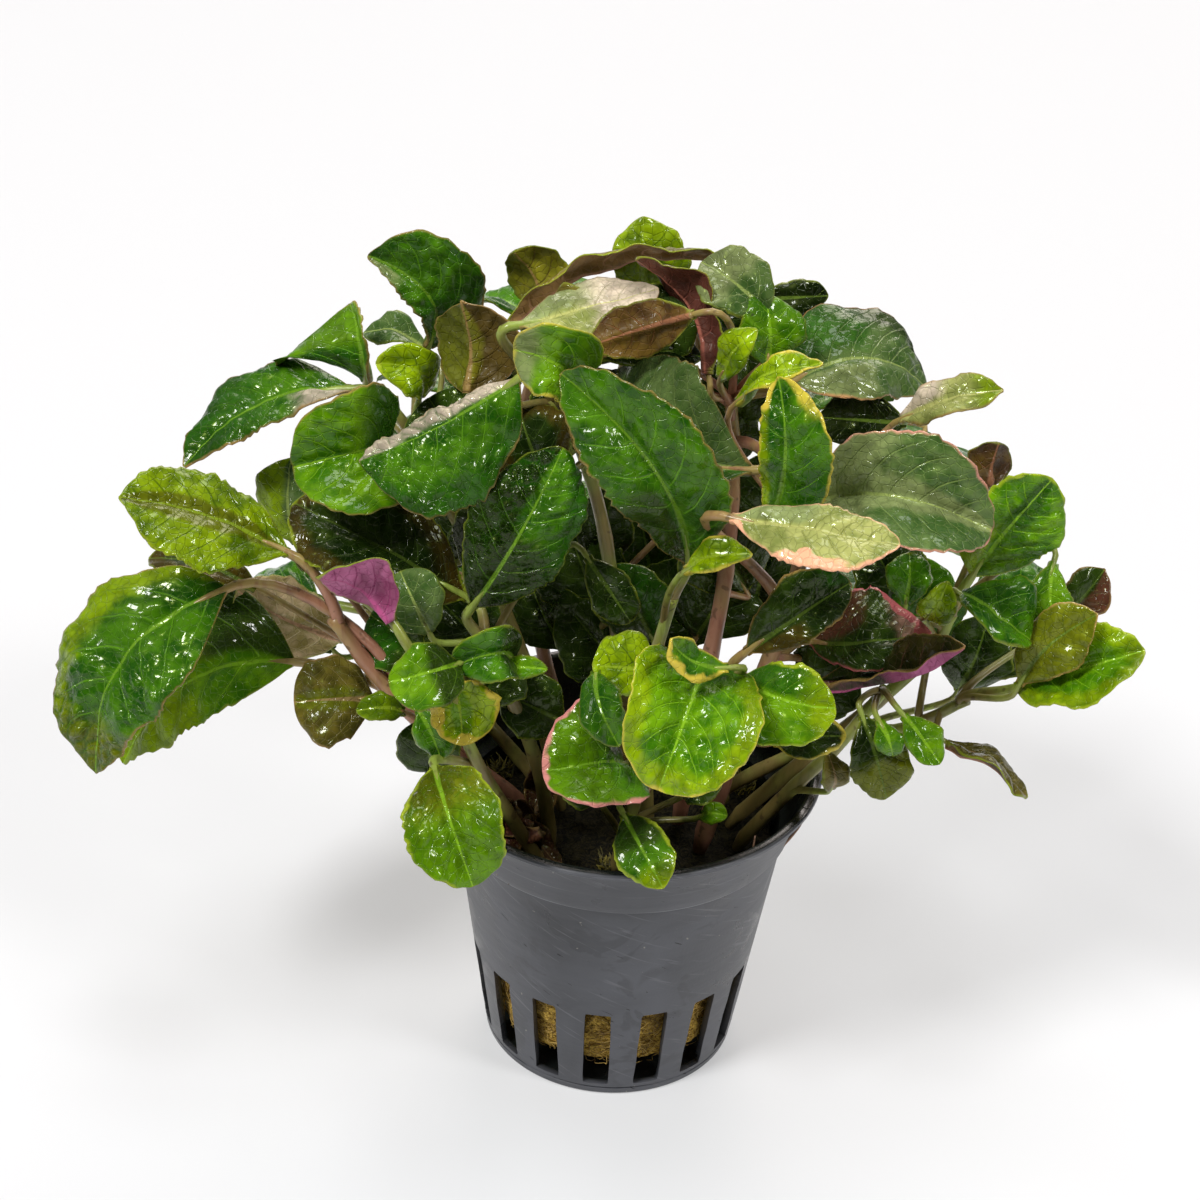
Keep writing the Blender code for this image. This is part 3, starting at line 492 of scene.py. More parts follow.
LEAVES = {
    # The beige at left_long's base is painted glare
    "left_long": leaf("shoot_left_high", 1, (-38, 11.5, 92), (-59, 5, 82.5), 14, (-17, 75), arch=2.5,
                      sweep=2.5, fold=8, curl=-19, left=0.72, outline="lance", rim="tan", pucker=0.5,
                      second=(("beige", "base", "left"), ("deep", "far_half")), point=0.35, tone=0.85),
    "left_peak": leaf("shoot_left_high", 0.95, (-36.5, 15, 91), (-39, 19, 100.5), 16, (-30, 38), arch=4,
                      sweep=2, fold=18, curl=-13, left=1.55, right=0.2, outline="fan", rim="tan",
                      second=(("bright", "far_half"),), point=0.6),
    "left_lime": leaf("shoot_left_low", 1, (-43.5, -7.5, 78), (-63.5, -12.5, 87.5), 15, (-10, 63), "lime",
                      arch=1, sweep=1, fold=11, curl=-11, left=1.1, right=0.8, rim="lime", pucker=0.35,
                      second=(("olive", "middle"),), point=0.5, tone=0.74),
    "left_big": leaf("shoot_left_low", 0.62, (-51.5, -9, 73), (-67.5, -18, 49.5), 19, (-32, 39), arch=5.5,
                     sweep=3, fold=15, curl=-22, right=1.05, outline="egg", rim="tan", quilt=0.9,
                     pucker=(0.15, 2), second=(("lime", "outer_right"), ("olive", "tip"))),
    # left_under's dark right near half is painted shadow cast by left_big above it
    "left_under": leaf("shoot_left_low", 0.5, (-44, -3.5, 59), (-67, -5, 42), 16, (-21, 53), "bright",
                       arch=3, sweep=4, fold=9, curl=-11, left=0.85, right=1.55, outline="egg",
                       second=(("dark", "right", "near_half"), ("lime", "far_half")), point=0.3),
    "left_pale": small("shoot_left_rear", 0.6, (-38, 2, 59.5), (-52.5, 4, 65), 11, (180, -30), "grey",
                       sweep=1, under="rose", tone=1.6),
    "left_olive": small("shoot_left_low", 0.45, (-33, -8, 57), (-43, -10, 57), 12, (-10, 38), "brown",
                        arch=1.5, outline="round", rim="tan", second=(("olive", "middle"),)),
    "left_back": small("shoot_left_rear", 1, (-45, 8, 70), (-46, 12, 81), 9.5, (-30, 35), "grey",
                       second=(("lime", "left"),)),
    "left_rear": leaf("shoot_left_rear", 0.8, (-43, 14, 58), (-58, 22, 50), 13, (-110, 48), arch=2.5),
    "mid_green": leaf("shoot_left_high", 0.97, (-33, 7.5, 86), (-43.5, -3.5, 88), 18, (-1, 27), "bright",
                      arch=6, fold=34, curl=-3, left=1.05, right=0.95, outline="round", rim="tan",
                      pucker=0.45, second=(("deep", "near_half"),), tone=0.92),
    # The beige on mid_curl's right half is painted glare along its ridge
    "mid_curl": leaf("shoot_top", 0.9, (-15.5, -6, 103.5), (-34.5, -9, 92.5), 20, (-25, 45), arch=-0.4,
                     sweep=-0.4, fold=-18, curl=-12, left=1.05, right=0.34, outline="round", rim="tan",
                     quilt=1.1, pucker=(0.9, 1), second=(("beige", "right"), ("deep", "outer_left")),
                     point=0.5),
    "mid_olive": small("shoot_top", 0.95, (-22, 4, 95.5), (-23.5, 8, 107), 13.5, (165, 35), "dark",
                       fold=15, outline="lance", rim="tan", under="olive",
                       second=(("olive", "right"), ("brown", "left")), point=0.8),
    "top_left": leaf("shoot_left_high", 1, (-29, 21.5, 93.5), (-36.5, 17.5, 108), 16, (0, 38), arch=3.5,
                     sweep=3.5, fold=21, curl=-8, left=0.35, rim="tan", pucker=(0.4, 0.9),
                     second=(("silver", "tip", "left"), ("deep", "near_half")), point=0.5),
    "small_lime": small("shoot_left_high", 1, (-29, 12.5, 90.5), (-34.5, 9, 97), 7, (-2, 47), "lime",
                        arch=3.5, sweep=1.5, fold=18, curl=-8, right=0.95, outline="round", rim="lime"),
    # The silver at mid_light's tip is painted glare
    "mid_light": leaf("shoot_top", 0.9, (-10, -6.5, 103.5), (-16, -8.5, 108.5), 11.5, (-7, 31), "bright",
                      arch=4.5, sweep=1.5, fold=29, curl=-5, left=0.8, right=0.95, outline="round",
                      rim="gold", second=(("silver", "tip"), ("bright", "near_half"))),
    "top_olive": small("shoot_back_left", 1, (-13, 20, 100), (-18, 22, 108), 9.5, (170, 22), "dark",
                       under="olive"),
    "arch_long": leaf("shoot_top", 1, (-19, 12, 101), (13, 12, 111), 9.5, (180, 62), "brown", arch=6,
                      under="bronze", tone=1.7),
    "arch_red": small("shoot_right_mid", 1, (8, 1, 102), (-2, 6, 115), 10, (150, 35), "wine", arch=3.5,
                      under="red", second=(("wine", "all"),), tone=1.4),
    "top_upright": leaf("shoot_back", 1, (0, 22.5, 101.5), (-1.5, 22.5, 113.5), 11.5, (5, 28), "lime",
                        arch=2.5, sweep=-0.5, left=0.75, right=1.05, rim="lime", pucker=0.4, point=0.4,
                        tone=0.78),
    # top_glare's pale look, beige and silver are painted glare on a leaf lying flat
    "top_glare": leaf("shoot_top", 1, (-16, 2, 107), (1, 6, 111), 12, (0, 82), "pale", arch=0.2, fold=-2,
                      curl=-3, rim="tan", quilt=0.6, wave=0.2,
                      second=(("beige", "far_half"), ("silver", "near_half", "left"))),
    "grey_top": small("shoot_right_mid", 1, (15, 4, 109), (6, 8, 114), 9.5, (10, 50), "grey", arch=1.5,
                      second=(("silver", "far_half"),)),
    "twist_green": small("shoot_right_mid", 1, (15, 2, 103), (14, 6, 111), 8.5, (20, 22), "bright",
                         tone=0.8),
    "grey_mid": small("shoot_right_mid", 1, (4, 6, 103), (-1, 8, 108), 8, (5, 50), "grey", arch=1.2),
    "top_right": leaf("shoot_right_mid", 1, (18.5, 4, 100.5), (36, 10, 97.5), 18.5, (6, 62), "grey",
                      arch=4, sweep=-1.5, fold=2, curl=-15, left=1.05, right=0.65, outline="heart",
                      rim="orange", pucker=0.35,
                      second=(("silver", "right", "near_half"), ("deep", "left", "near_half"),
                               ("dark", "outer_left", "far_half")),
                      rim_at="base", tone=0.92),
    "right_high": small("shoot_right", 1, (31.5, -2, 99), (43, -6.5, 106), 6, (0, 57), "pale", arch=2.5,
                        sweep=0.5, fold=16, curl=-9, right=0.95, rim="tan",
                        second=(("beige", "left", "near_half"), ("lime", "tip")), point=0.6),
    "centre_big": leaf("shoot_centre", 1, (6.5, -13, 83), (-10, -14, 108.5), 17, (-15, 30), arch=5.5,
                       sweep=4, fold=24, curl=-20, left=0.75, right=0.9, rim="tan", quilt=0.8, pucker=0.6,
                       second=(("dark", "near_half", "left"),), tone=0.86),
    "centre_back": leaf("shoot_right_mid", 0.8, (13.5, -8, 94), (-3.5, 4.5, 100.5), 15, (-2, 37), "grey",
                        arch=5, sweep=-5.5, fold=29, curl=-9, right=1.5, rim="tan",
                        second=(("deep", "left"),), tone=0.8),
    # The black on centre_dark's left and near half is painted shadow cast by mid_curl
    "centre_dark": leaf("shoot_left_mid", 1, (-20, -12.5, 74.5), (-9.5, -8, 95.5), 16.5, (6, 28), arch=3,
                        sweep=0.5, fold=3, curl=-13, left=0.85, right=0.85, pucker=(0.2, 1.1),
                        second=(("black", "left"), ("black", "near_half"),
                                ("deep", "outer_right", "far_half"))),
    # The black at shade_left's base is painted shade
    "shade_left": leaf("shoot_left_mid", 0.95, (-21, -6, 72), (-44, 0, 81), 15, (-10, 55), "dark", arch=3,
                       sweep=-0.5, rim="lime", second=(("black", "base"), ("brown", "edge")), tone=0.7),
    "magenta": leaf("shoot_front_left", 1, (-29, -19, 76), (-38, -21, 83), 9.5, (170, 25), "wine",
                    arch=2.5, fold=10, left=1.25, right=0.9, under="magenta"),
    "grey_small": small("shoot_left_mid", 0.95, (-25, -15, 72), (-29, -12, 79), 8, (0, 35), "grey",
                        outline="round"),
    "low_left_a": small("shoot_front_left", 1, (-21, -20, 71), (-29, -25, 71), 9, (-9, 40), "bright",
                        sweep=-0.5, fold=14, curl=-9, left=1.1, right=0.8, outline="round",
                        second=(("dark", "near_half"),), tone=0.9),
    "low_left_b": small("shoot_left_mid", 0.9, (-14.5, -14.5, 68.5), (-21.5, -19, 70), 8.5, (2, 33),
                        arch=4, sweep=1, fold=31, curl=-4, left=0.9, right=0.9, outline="round",
                        second=(("dark", "near_half"),)),
    "low_left_c": small("shoot_front_left", 0.95, (-21.5, -22, 69), (-20, -22.5, 60.5), 9.5, (4, 45),
                        "lime", arch=-1.5, sweep=-0.5, fold=-1, curl=-14, left=1.05, right=0.85,
                        outline="round", rim="gold_wide", second=(("bright", "middle"),), tone=0.85),
    "low_left_d": small("shoot_front_left", 0.7, (-26, -18, 62.5), (-23, -20, 56.5), 5.5, (-18, 36),
                        arch=1, sweep=-0.5, fold=13, left=1.05, right=0.9),
    "rim_left": leaf("shoot_front_left", 0.6, (-23.5, -22.5, 57), (-17.5, -34, 47.5), 14, (4, 31),
                     "bright", arch=4, fold=23, curl=-7, right=0.85, rim="lime", pucker=0.75,
                     second=(("olive", "near_half"), ("bright", "far_half")), tone=0.9),
    "heart": small("shoot_front", 1, (3, -17.5, 70), (-4.5, -18.5, 71), 9, (1, 45), "lime", arch=0.5,
                   fold=9, curl=-11, left=0.8, right=1.1, outline="heart", tone=1.1),
    "front_big": leaf("shoot_front", 1, (9, -17.5, 70.5), (4.5, -33, 63), 20, (2, 39), "bright", arch=6,
                      fold=28, curl=-3, left=0.95, right=0.85, outline="round", rim="gold", pucker=0.7,
                      second=(("lime", "edge"), ("deep", "base")), rim_at="tip"),
    "front_pink": leaf("shoot_front", 0.7, (0.5, -15, 54), (-10, -22, 57), 14.5, (-13, 53), arch=3.5,
                       sweep=-1, fold=21, curl=-7, left=1.05, right=1.1, outline="round", rim="pink",
                       pucker=0.4, second=(("bright", "far_half"), ("dark", "right", "near_half"))),
    "front_mid": small("shoot_front", 1, (-4, -19, 70.5), (-0.5, -26.5, 64.5), 6, (-8, 35), arch=3,
                       sweep=0.5, fold=13, curl=-9, right=0.9),
    "rim_front": small("shoot_front", 0.3, (0.5, -20.5, 50), (6, -29.5, 45.5), 7.5, (-8, 44), arch=1.5,
                       fold=9, right=0.95, rim="lime", second=(("dark", "near_half"), ("lime", "tip")),
                       tone=0.9),
    "right_round": leaf("shoot_right", 0.45, (14, -18, 70), (25.5, -24, 70.5), 11.5, (6, 43), "bright",
                        arch=2.5, sweep=1.5, fold=16, curl=-9, left=0.85, right=1.1, outline="round",
                        rim="lime", second=(("deep", "left"), ("lime", "tip"))),
    "right_dark": leaf("shoot_right", 0.4, (14.5, -15, 72), (27, -10, 80), 11, (13, 32), "dark", arch=3,
                       sweep=-0.5, fold=18, curl=-8, left=0.9, right=0.65, rim="tan", pucker=0.4,
                       second=(("deep", "tip", "left"), ("brown", "near_half", "right")), tone=1.15),
    "right_pink_rim": leaf("shoot_right", 0.5, (23, -5, 68), (38, -8.5, 72.5), 13.5, (1, 53), "dark",
                           arch=3.5, sweep=2, fold=2, curl=-12, left=1.2, right=0.6, rim="pink_wide",
                           second=(("rose", "tip"), ("wine", "left", "near_half")), rim_at="tip"),
    "right_wine": leaf("shoot_right", 0.4, (24, -11, 65.5), (41, -17, 76), 9, (0, 84), "wine", arch=-1.8,
                       fold=58, curl=-12, right=0.42, rim="tan", under="magenta",
                       second=(("dark", "near_half"),), tone=1.1),
    "right_orange": leaf("shoot_right", 0.7, (11, -21, 94.5), (30.5, -27, 95.5), 12, (0, 64), "pale",
                         arch=1, sweep=0.5, fold=6, curl=-1, left=0.62, right=0.9, rim="orange_wide",
                         wave=0.4, second=(("silver", "left", "near_half"),), rim_at="right", tone=1.05),
    "right_upright": leaf("shoot_right", 1, (16, -13, 90), (15.5, -13.5, 109.5), 13, (-4, 21), arch=3.5,
                          sweep=1.5, fold=19, curl=-8, left=0.5, right=0.9, rim="gold_wide", pucker=0.4,
                          second=(("lime", "edge", "outer_left"), ("gold", "outer_right", "tip")),
                          rim_at="tip"),
    # The silver on right_grey is painted glare
    "right_grey": leaf("shoot_right", 1, (21.5, -4, 87), (43, -13.5, 90.5), 18, (3, 47), "grey", arch=6.5,
                       sweep=-0.5, fold=38, curl=-1, left=0.9, right=1.15, rim="pink_thin", pucker=0.5,
                       second=(("silver", "near_half"), ("silver", "middle")), tone=1.12),
    "low_right": small("shoot_right_low", 1, (30, -13.5, 62.5), (34, -16.5, 52), 8.5, (2, 39), "dark",
                       arch=1.5, fold=7, curl=-11, left=1.05, right=0.85,
                       second=(("olive", "far_half"),)),
    "low_right_b": small("shoot_right_low", 1, (35, -15, 64), (40, -18, 59), 5, (10, 40), "bright",
                         arch=0.6),
    "inner_right": small("shoot_far_right", 0.9, (35, -3, 73), (35, 0, 79), 6.5, (10, 40), arch=1),
    "far_round": leaf("shoot_far_right", 1, (43, -3, 78), (51, -4, 93), 13.5, (21, 38), "bright", arch=1,
                      sweep=-0.5, fold=8, curl=-12, left=0.85, right=0.9, outline="round", rim="lime",
                      pucker=0.5, second=(("lime", "left", "near_half"), ("deep", "middle", "far_half"))),
    "far_bud": small("shoot_far_right", 0.85, (44.5, 6, 85.5), (45.5, 8, 91.5), 7, (190, 20), "brown",
                     arch=1, under="umber", point=0.6),
    "far_fold": small("shoot_far_right", 1, (41, -7.5, 78), (50, -11.5, 74), 9.5, (29, 51), arch=3.5,
                      sweep=1.5, fold=22, curl=-11, left=1.25, right=0.8),
    "far_grey": small("shoot_right_out", 1, (56, 2, 69), (61, 4, 76), 6.5, (20, 42), "dark", arch=1.2,
                      rim="tan", second=(("wine", "right"),), point=0.6),
    "far_end": leaf("shoot_right_out", 1, (49.5, -8.5, 65), (64, -13, 74.5), 13, (5, 55), "bright",
                    arch=1.5, sweep=0.5, fold=33, curl=-9, left=0.9, rim="lime", pucker=0.55,
                    second=(("lime", "edge"),), tone=0.95),
    "far_slate": small("shoot_right_out", 1, (47, 2, 60), (54, 4, 63), 6.5, (0, 60), "dark", arch=1),
    "far_sickle": small("shoot_right_out", 0.9, (42, -7.5, 55.5), (52.5, -13, 51), 8, (181, 67), "brown",
                        arch=1.5, sweep=0.5, fold=10, under="umber"),
    "right_rear": small("shoot_right_out", 0.8, (46, 12, 66), (60, 20, 62), 13, (110, 48), arch=2.5),
    "back_top_left": leaf("shoot_back_left", 1, (-15, 23, 97), (-25, 33, 94), 14, (-150, 62), arch=3,
                          coarse=1),
    "back_top_mid": leaf("shoot_back", 1, (-4, 26, 98), (-7, 41, 92), 15, (180, 58), arch=3, coarse=1),
    "back_top_right": leaf("shoot_back_right", 1, (12, 20, 98), (22, 33, 95), 14, (150, 62), arch=3,
                           coarse=1),
    "back_left_high": leaf("shoot_back_left", 0.75, (-28, 20, 78), (-44, 32, 72), 16, (-135, 55), arch=3,
                           coarse=1),
    "back_mid_left": leaf("shoot_back_left", 0.7, (-14, 30, 80), (-20, 49, 70), 16, (-165, 50), arch=3,
                          coarse=1),
    "back_mid_right": leaf("shoot_back_right", 0.7, (10, 32, 80), (15, 51, 70), 16, (165, 50), arch=3,
                           coarse=1),
    "back_right_high": leaf("shoot_back_right", 0.75, (28, 22, 80), (44, 33, 76), 16, (130, 55), arch=3,
                            coarse=1),
    "back_left_low": leaf("shoot_back_left", 0.35, (-24, 26, 56), (-38, 40, 46), 14, (-140, 45), arch=2.5,
                          coarse=1),
    "back_mid_low": leaf("shoot_back", 0.4, (0, 32, 58), (1, 50, 48), 14, (180, 45), arch=2.5, coarse=1),
    "back_right_low": leaf("shoot_back_right", 0.35, (25, 25, 57), (39, 38, 48), 14, (140, 45), arch=2.5,
                           coarse=1),
    "back_fill_a": small("shoot_back_left", 0.9, (-24, 23, 85), (-36, 31, 84), 12, (-140, 60), coarse=1),
    "back_fill_b": small("shoot_back", 0.85, (-8, 30, 88), (-12, 44, 83), 12, (-170, 55), coarse=1),
    "back_fill_c": small("shoot_back_right", 0.9, (21, 24, 86), (33, 31, 85), 12, (140, 60), coarse=1),
    "back_fill_d": small("shoot_back", 0.85, (4, 30, 89), (7, 44, 84), 12, (170, 55), coarse=1),
    "back_fill_e": small("shoot_back", 0.5, (-8, 33, 64), (-12, 47, 59), 11, (-170, 45), "bright",
                         coarse=1),
    "back_fill_f": small("shoot_back", 0.5, (8, 33, 65), (12, 47, 60), 11, (170, 45), "bright", coarse=1),
    "back_fill_g": small("shoot_back_left", 0.5, (-30, 23, 65), (-44, 32, 61), 12, (-135, 50), "lime",
                         coarse=1),
    "back_fill_h": small("shoot_back_right", 0.5, (32, 23, 66), (46, 30, 62), 12, (135, 50), "lime",
                         coarse=1),
    # In the shade, coloured near black as painted shade, and the smallest leaves
    "shade_a": small("shoot_centre", 0.35, (2, 6, 52), (-9, 10, 62), 12, (-10, 30), "dark"),
    "shade_b": small("shoot_centre", 0.45, (3, 4, 61), (-3, 6, 71), 10, (5, 28), "dark",
                     second=(("deep", "right"),)),
    "shade_c": small("shoot_back", 0.35, (3, 14, 53), (9, 16, 67), 14, (10, 28), "dark"),
    "shade_d": small("shoot_right_mid", 0.3, (9, 10, 58), (13, 12, 69), 13, (10, 30), "dark"),
    "shade_e": small("shoot_top", 0.35, (-9, 10, 55), (-14, 12, 64), 11, (-10, 30), "dark"),
    "shade_f": small("shoot_right_mid", 0.45, (15, 8, 67), (8, 8, 80), 13, (-5, 35), "dark"),
    "shade_g": small("shoot_right_mid", 0.55, (17, 10, 74), (17, 12, 86), 14, (10, 38), "dark"),
    "shade_h": small("shoot_right_mid", 0.7, (12, 10, 84), (7, 12, 94), 12, (-10, 40), "dark"),
    "shade_i": small("shoot_right_mid", 0.8, (12, 10, 91), (13, 12, 100), 12, (10, 40), "dark"),
    "shade_j": small("shoot_top", 0.7, (-12, 2, 85), (-16, 6, 94), 12, (-15, 40), "dark",
                     second=(("brown", "edge"),)),
    "shade_k": small("shoot_top", 0.75, (-9, 6, 88), (-6, 8, 98), 13, (0, 45), "dark"),
    "shade_l": small("shoot_left_high", 0.7, (-21, 8, 83), (-28, 12, 91), 14, (-15, 45), "dark"),
    "shade_m": small("shoot_left_mid", 0.6, (-24, -6, 62), (-34, -2, 66), 11, (-15, 40), "dark",
                     second=(("deep", "far_half"),)),
    "shade_n": small("shoot_left_rear", 0.7, (-40, 6, 55), (-47, 8, 60), 9, (-20, 55), "dark"),
    "shade_o": small("shoot_left_mid", 0.5, (-18, -4, 63), (-25, -2, 69), 11, (-10, 38), "dark"),
    "shade_p": small("shoot_right", 0.55, (36, 2, 62), (38, 4, 76), 12, (15, 40)),
    "shade_q": small("shoot_far_right", 0.6, (35, 2, 69), (30, 4, 78), 11, (5, 50), "dark"),
    "shade_r": small("shoot_right_out", 0.6, (44, 2, 57), (47, 4, 68), 10, (15, 50), "dark"),
    "shade_s": small("shoot_top", 0.6, (-4, 12, 59), (-9, 14, 71), 13, (-5, 35), "dark"),
    "shade_t": small("shoot_back", 0.5, (3, 18, 59), (0, 20, 73), 14, (0, 35), "dark"),
    "shade_u": small("shoot_left_high", 0.6, (-28, 6, 70), (-38, 12, 72), 13, (-20, 50), "dark"),
    "shade_v": small("shoot_top", 0.85, (-1, 8, 101), (5, 10, 108), 10, (10, 50), "dark", under="umber"),
    "shade_w": small("shoot_right_mid", 0.9, (7, 12, 103), (12, 14, 108), 10, (15, 45), "dark"),
    "shade_x": small("shoot_left_high", 0.85, (-23, 12, 91), (-19, 14, 100), 10, (10, 40), "dark",
                     under="umber"),
    "shade_y": small("shoot_right_low", 0.7, (23, -4, 58), (29, -4, 65), 11, (10, 45), "dark"),
    "shade_z": small("shoot_front_left", 0.8, (-20, -14, 62), (-14, -10, 66), 9, (10, 40), "dark"),
    "left_hid": small("shoot_left_low", 0.6, (-49, 0, 68), (-64, 4, 69), 7.5, (0, 75), "dark",
                      second=(("brown", "edge"),)),
    "left_tiny": small("shoot_left_low", 0.4, (-28, -15, 60), (-34, -17, 61), 4.2, (-10, 50), "lime"),
    "top_left_edge": small("shoot_left_high", 0.95, (-29, 22, 93), (-38, 24, 94), 6, (-20, 78), "grey"),
    "low_strap": small("shoot_front_left", 0.9, (-17, -15, 67), (-10, -17, 69), 3.2, (0, 45), "bright"),
    "front_lid": small("shoot_front", 0.95, (12, -25, 76), (5, -28, 81.5), 5, (4, 47), arch=-0.5,
                       sweep=-1, fold=8, curl=-11, right=0.9, rim="gold_wide",
                       second=(("bright", "tip"),), rim_at="left"),
    "spoon_tiny": small("shoot_front", 0.3, (10.5, -13, 45), (14, -14, 46), 3, (0, 49), "bright",
                        arch=1.5, left=0.95),
    "low_dark_a": small("shoot_front", 0.3, (8, -14, 49), (13, -16, 53), 5, (0, 45), "dark"),
    "right_dark_low": small("shoot_right", 0.3, (19, -14, 58), (28, -16, 61), 6, (5, 45), "dark",
                            rim="gold"),
    # black_under, black_back and black_mid are painted near black as shade, for leaves in the shadow of the
    # top of the bush
    "black_under": small("shoot_right", 0.95, (33, 3, 96), (22, 3, 96), 8, (0, 20), "dark", arch=0.4,
                         fold=4, under="umber", second=(("black", "all"),)),
    "black_back": small("shoot_right_mid", 0.95, (14.5, 20, 104), (23, 20, 105), 5, (0, 25), "dark",
                        arch=0.4, fold=2, under="umber", second=(("black", "all"),)),
    "arch_dark": small("shoot_right_mid", 1, (5.5, -4, 112.5), (-7, -4, 107.5), 7, (180, -20), "brown",
                       arch=2.5, fold=6, curl=-4, under="umber", tone=1.2),
    "olive_small": small("shoot_top", 0.95, (-13, 10, 105), (-7, 8, 106), 6, (0, 40), "brown"),
    "black_mid": small("shoot_right_mid", 0.95, (-6, 4, 102), (7, 6, 102), 6, (0, 60), "dark",
                       second=(("black", "all"),)),
    "lime_blade": small("shoot_right_mid", 0.9, (9, -2, 103), (13, -4, 111), 4.6, (-30, 25), "lime"),
    "lime_edge": small("shoot_right", 0.98, (11, -6, 102), (21, -8, 109), 4.8, (-10, 72), "lime",
                       rim="gold"),
    "lime_low": small("shoot_centre", 0.85, (6, -18, 85), (14, -20, 89), 4.5, (0, 60), "lime",
                      rim="gold"),
    "far_small": small("shoot_far_right", 0.95, (53, -3, 80.5), (53.5, -7, 73), 6.5, (15, 40), "bright",
                       arch=1.5, sweep=1, left=0.9, right=0.95),
    "low_right_a": small("shoot_right_low", 0.95, (32, -15, 63), (34, -17, 59), 4, (5, 35), "bright"),
    "lime_right": small("shoot_far_right", 0.8, (37, -8, 74), (39, -10, 81), 4.8, (10, 40), "lime"),
    "inner_drop": small("shoot_left_mid", 0.9, (-6, -6, 79), (0, -8, 71), 6, (0, 30), "dark"),
    "left_far_low": small("shoot_left_low", 0.55, (-43, 0, 75), (-41, -2, 72), 4, (0, 45), "brown"),
    "dark_low_mid": small("shoot_left_mid", 0.3, (-8, -8, 55), (-16, -8, 59), 9, (-10, 40), "dark"),
    "dark_low_left": small("shoot_front_left", 0.4, (-24, -12, 49), (-26, -12, 57), 9, (-15, 40), "dark"),
    "dark_front": small("shoot_front", 0.2, (-3, -16, 49), (-7, -16, 53), 7, (0, 45), "dark"),
    "right_bits": small("shoot_right_low", 0.3, (27, -14, 51), (26, -14, 57), 4, (20, 40), "brown"),
    # curl_below, mid_shade, right_shade and curl_shade are black where painted shade stands for the shadow
    # inside the bush
    "curl_below": small("shoot_top", 0.8, (-27.5, 10, 65.5), (-22.5, 10, 77.5), 9.5, (0, 35), "dark",
                        arch=0.5, fold=4, second=(("black", "near_half"),)),
    "mid_shade": small("shoot_right_mid", 0.7, (-5, 13, 65), (-3.5, 13, 79), 8, (0, 35), "dark", arch=0.5,
                       fold=4, second=(("black", "near_half"),)),
    "right_shade": small("shoot_right", 0.75, (16.5, 10, 62.5), (17.5, 10, 75.5), 8.5, (0, 35), "dark",
                         arch=0.5, fold=4, second=(("black", "near_half"),)),
    "curl_shade": small("shoot_top", 0.85, (-21.5, 2, 70.5), (-17.5, 2, 83), 9.5, (0, 40), "dark",
                        arch=0.5, fold=4, second=(("black", "all"),)),
    "far_lid": small("shoot_right_out", 1, (49.5, -11, 67), (57.5, -12.5, 79), 8.6, (-20, 40), "dark",
                     arch=1, sweep=-1, fold=8, left=0.95, rim="tan", second=(("olive", "all"),),
                     point=0.5, tone=1.2),
}
print("shoots:", len(STEMS), "leaves:", len(LEAVES))

# %% [markdown]
# A blade is a sheet bent over its midrib. The midrib is a curve from stalk to tip, the outline says
# how wide the sheet is at each place along it, the two halves fold up in a V, and each half curls
# down again towards its margin. These are the solid's own formulas, worked out for whole grids of
# points at once with numpy, so a fine blade lies exactly where its solid is. Sculpting each leaf by
# hand could look freer, but a hundred of them would take days and never match the solids.

# %% The leaf surface
OUTLINES = {
    "oval": (0.80, 0.62),
    "round": (0.62, 0.50),
    "lance": (0.85, 0.85),
    "heart": (0.42, 0.55),
    "egg": (0.62, 0.72),
    "fan": (1.10, 0.32),
}
BLADE_NECK = 0.62
BLADE_END = 0.12
CURL_AT_ENDS = 0.15
END_ON = 0.97


def unit(vectors):
    return vectors / np.linalg.norm(vectors, axis=-1, keepdims=True)


def midrib(row):
    """The blade's up and side directions, and the middle handle of its midrib curve."""
    chord = row["tip"] - row["base"]
    along = unit(chord)
    up = unit(row["face"] - along * row["face"].dot(along))
    side = np.cross(along, up)
    handle = row["base"] + chord * row["at"] + up * 2 * row["arch"] + side * 2 * row["sweep"]
    return up, side, handle


def midrib_point(row, t):
    handle = midrib(row)[2]
    t = np.asarray(t, float)[..., None]
    return row["base"] * (1 - t) ** 2 + handle * 2 * t * (1 - t) + row["tip"] * t ** 2


def midrib_direction(row, t):
    handle = midrib(row)[2]
    t = np.asarray(t, float)[..., None]
    return unit(2 * (1 - t) * (handle - row["base"]) + 2 * t * (row["tip"] - handle))


def half_width(t, row):
    rise, fall = OUTLINES[row["outline"]]
    widest = rise / (rise + fall)
    return row["width"] / 2 * (t / widest) ** rise * ((1 - t) / (1 - widest)) ** fall


def blade_frames(row, t):
    """Along, across and normal directions at each t."""
    up, side, _ = midrib(row)
    along = midrib_direction(row, t)
    lean = (along * up).sum(-1, keepdims=True)
    flat = unit(up - along * np.clip(lean, -END_ON, END_ON))
    steep = unit(np.cross(side, along))
    normal = np.where(abs(lean) < END_ON, flat, steep)
    return along, np.cross(along, normal), normal


leaf_length = {name: float(np.linalg.norm(row["tip"] - row["base"])) for name, row in LEAVES.items()}
print("longest blade in mm:", round(max(leaf_length.values()), 1))

# %% [markdown]
# On that sheet comes the relief: small forward-leaning teeth on the margin, a slow wave along it, a
# groove over the midrib, puffed skin between the side veins, and, where a leaf is puckered, the
# little cushions between its smallest veins. A displacement modifier with a texture could do this,
# but the veins have to run with each leaf, so the relief is worked out from the leaf's own
# coordinates. The same numbers are kept on the mesh for the material to read.

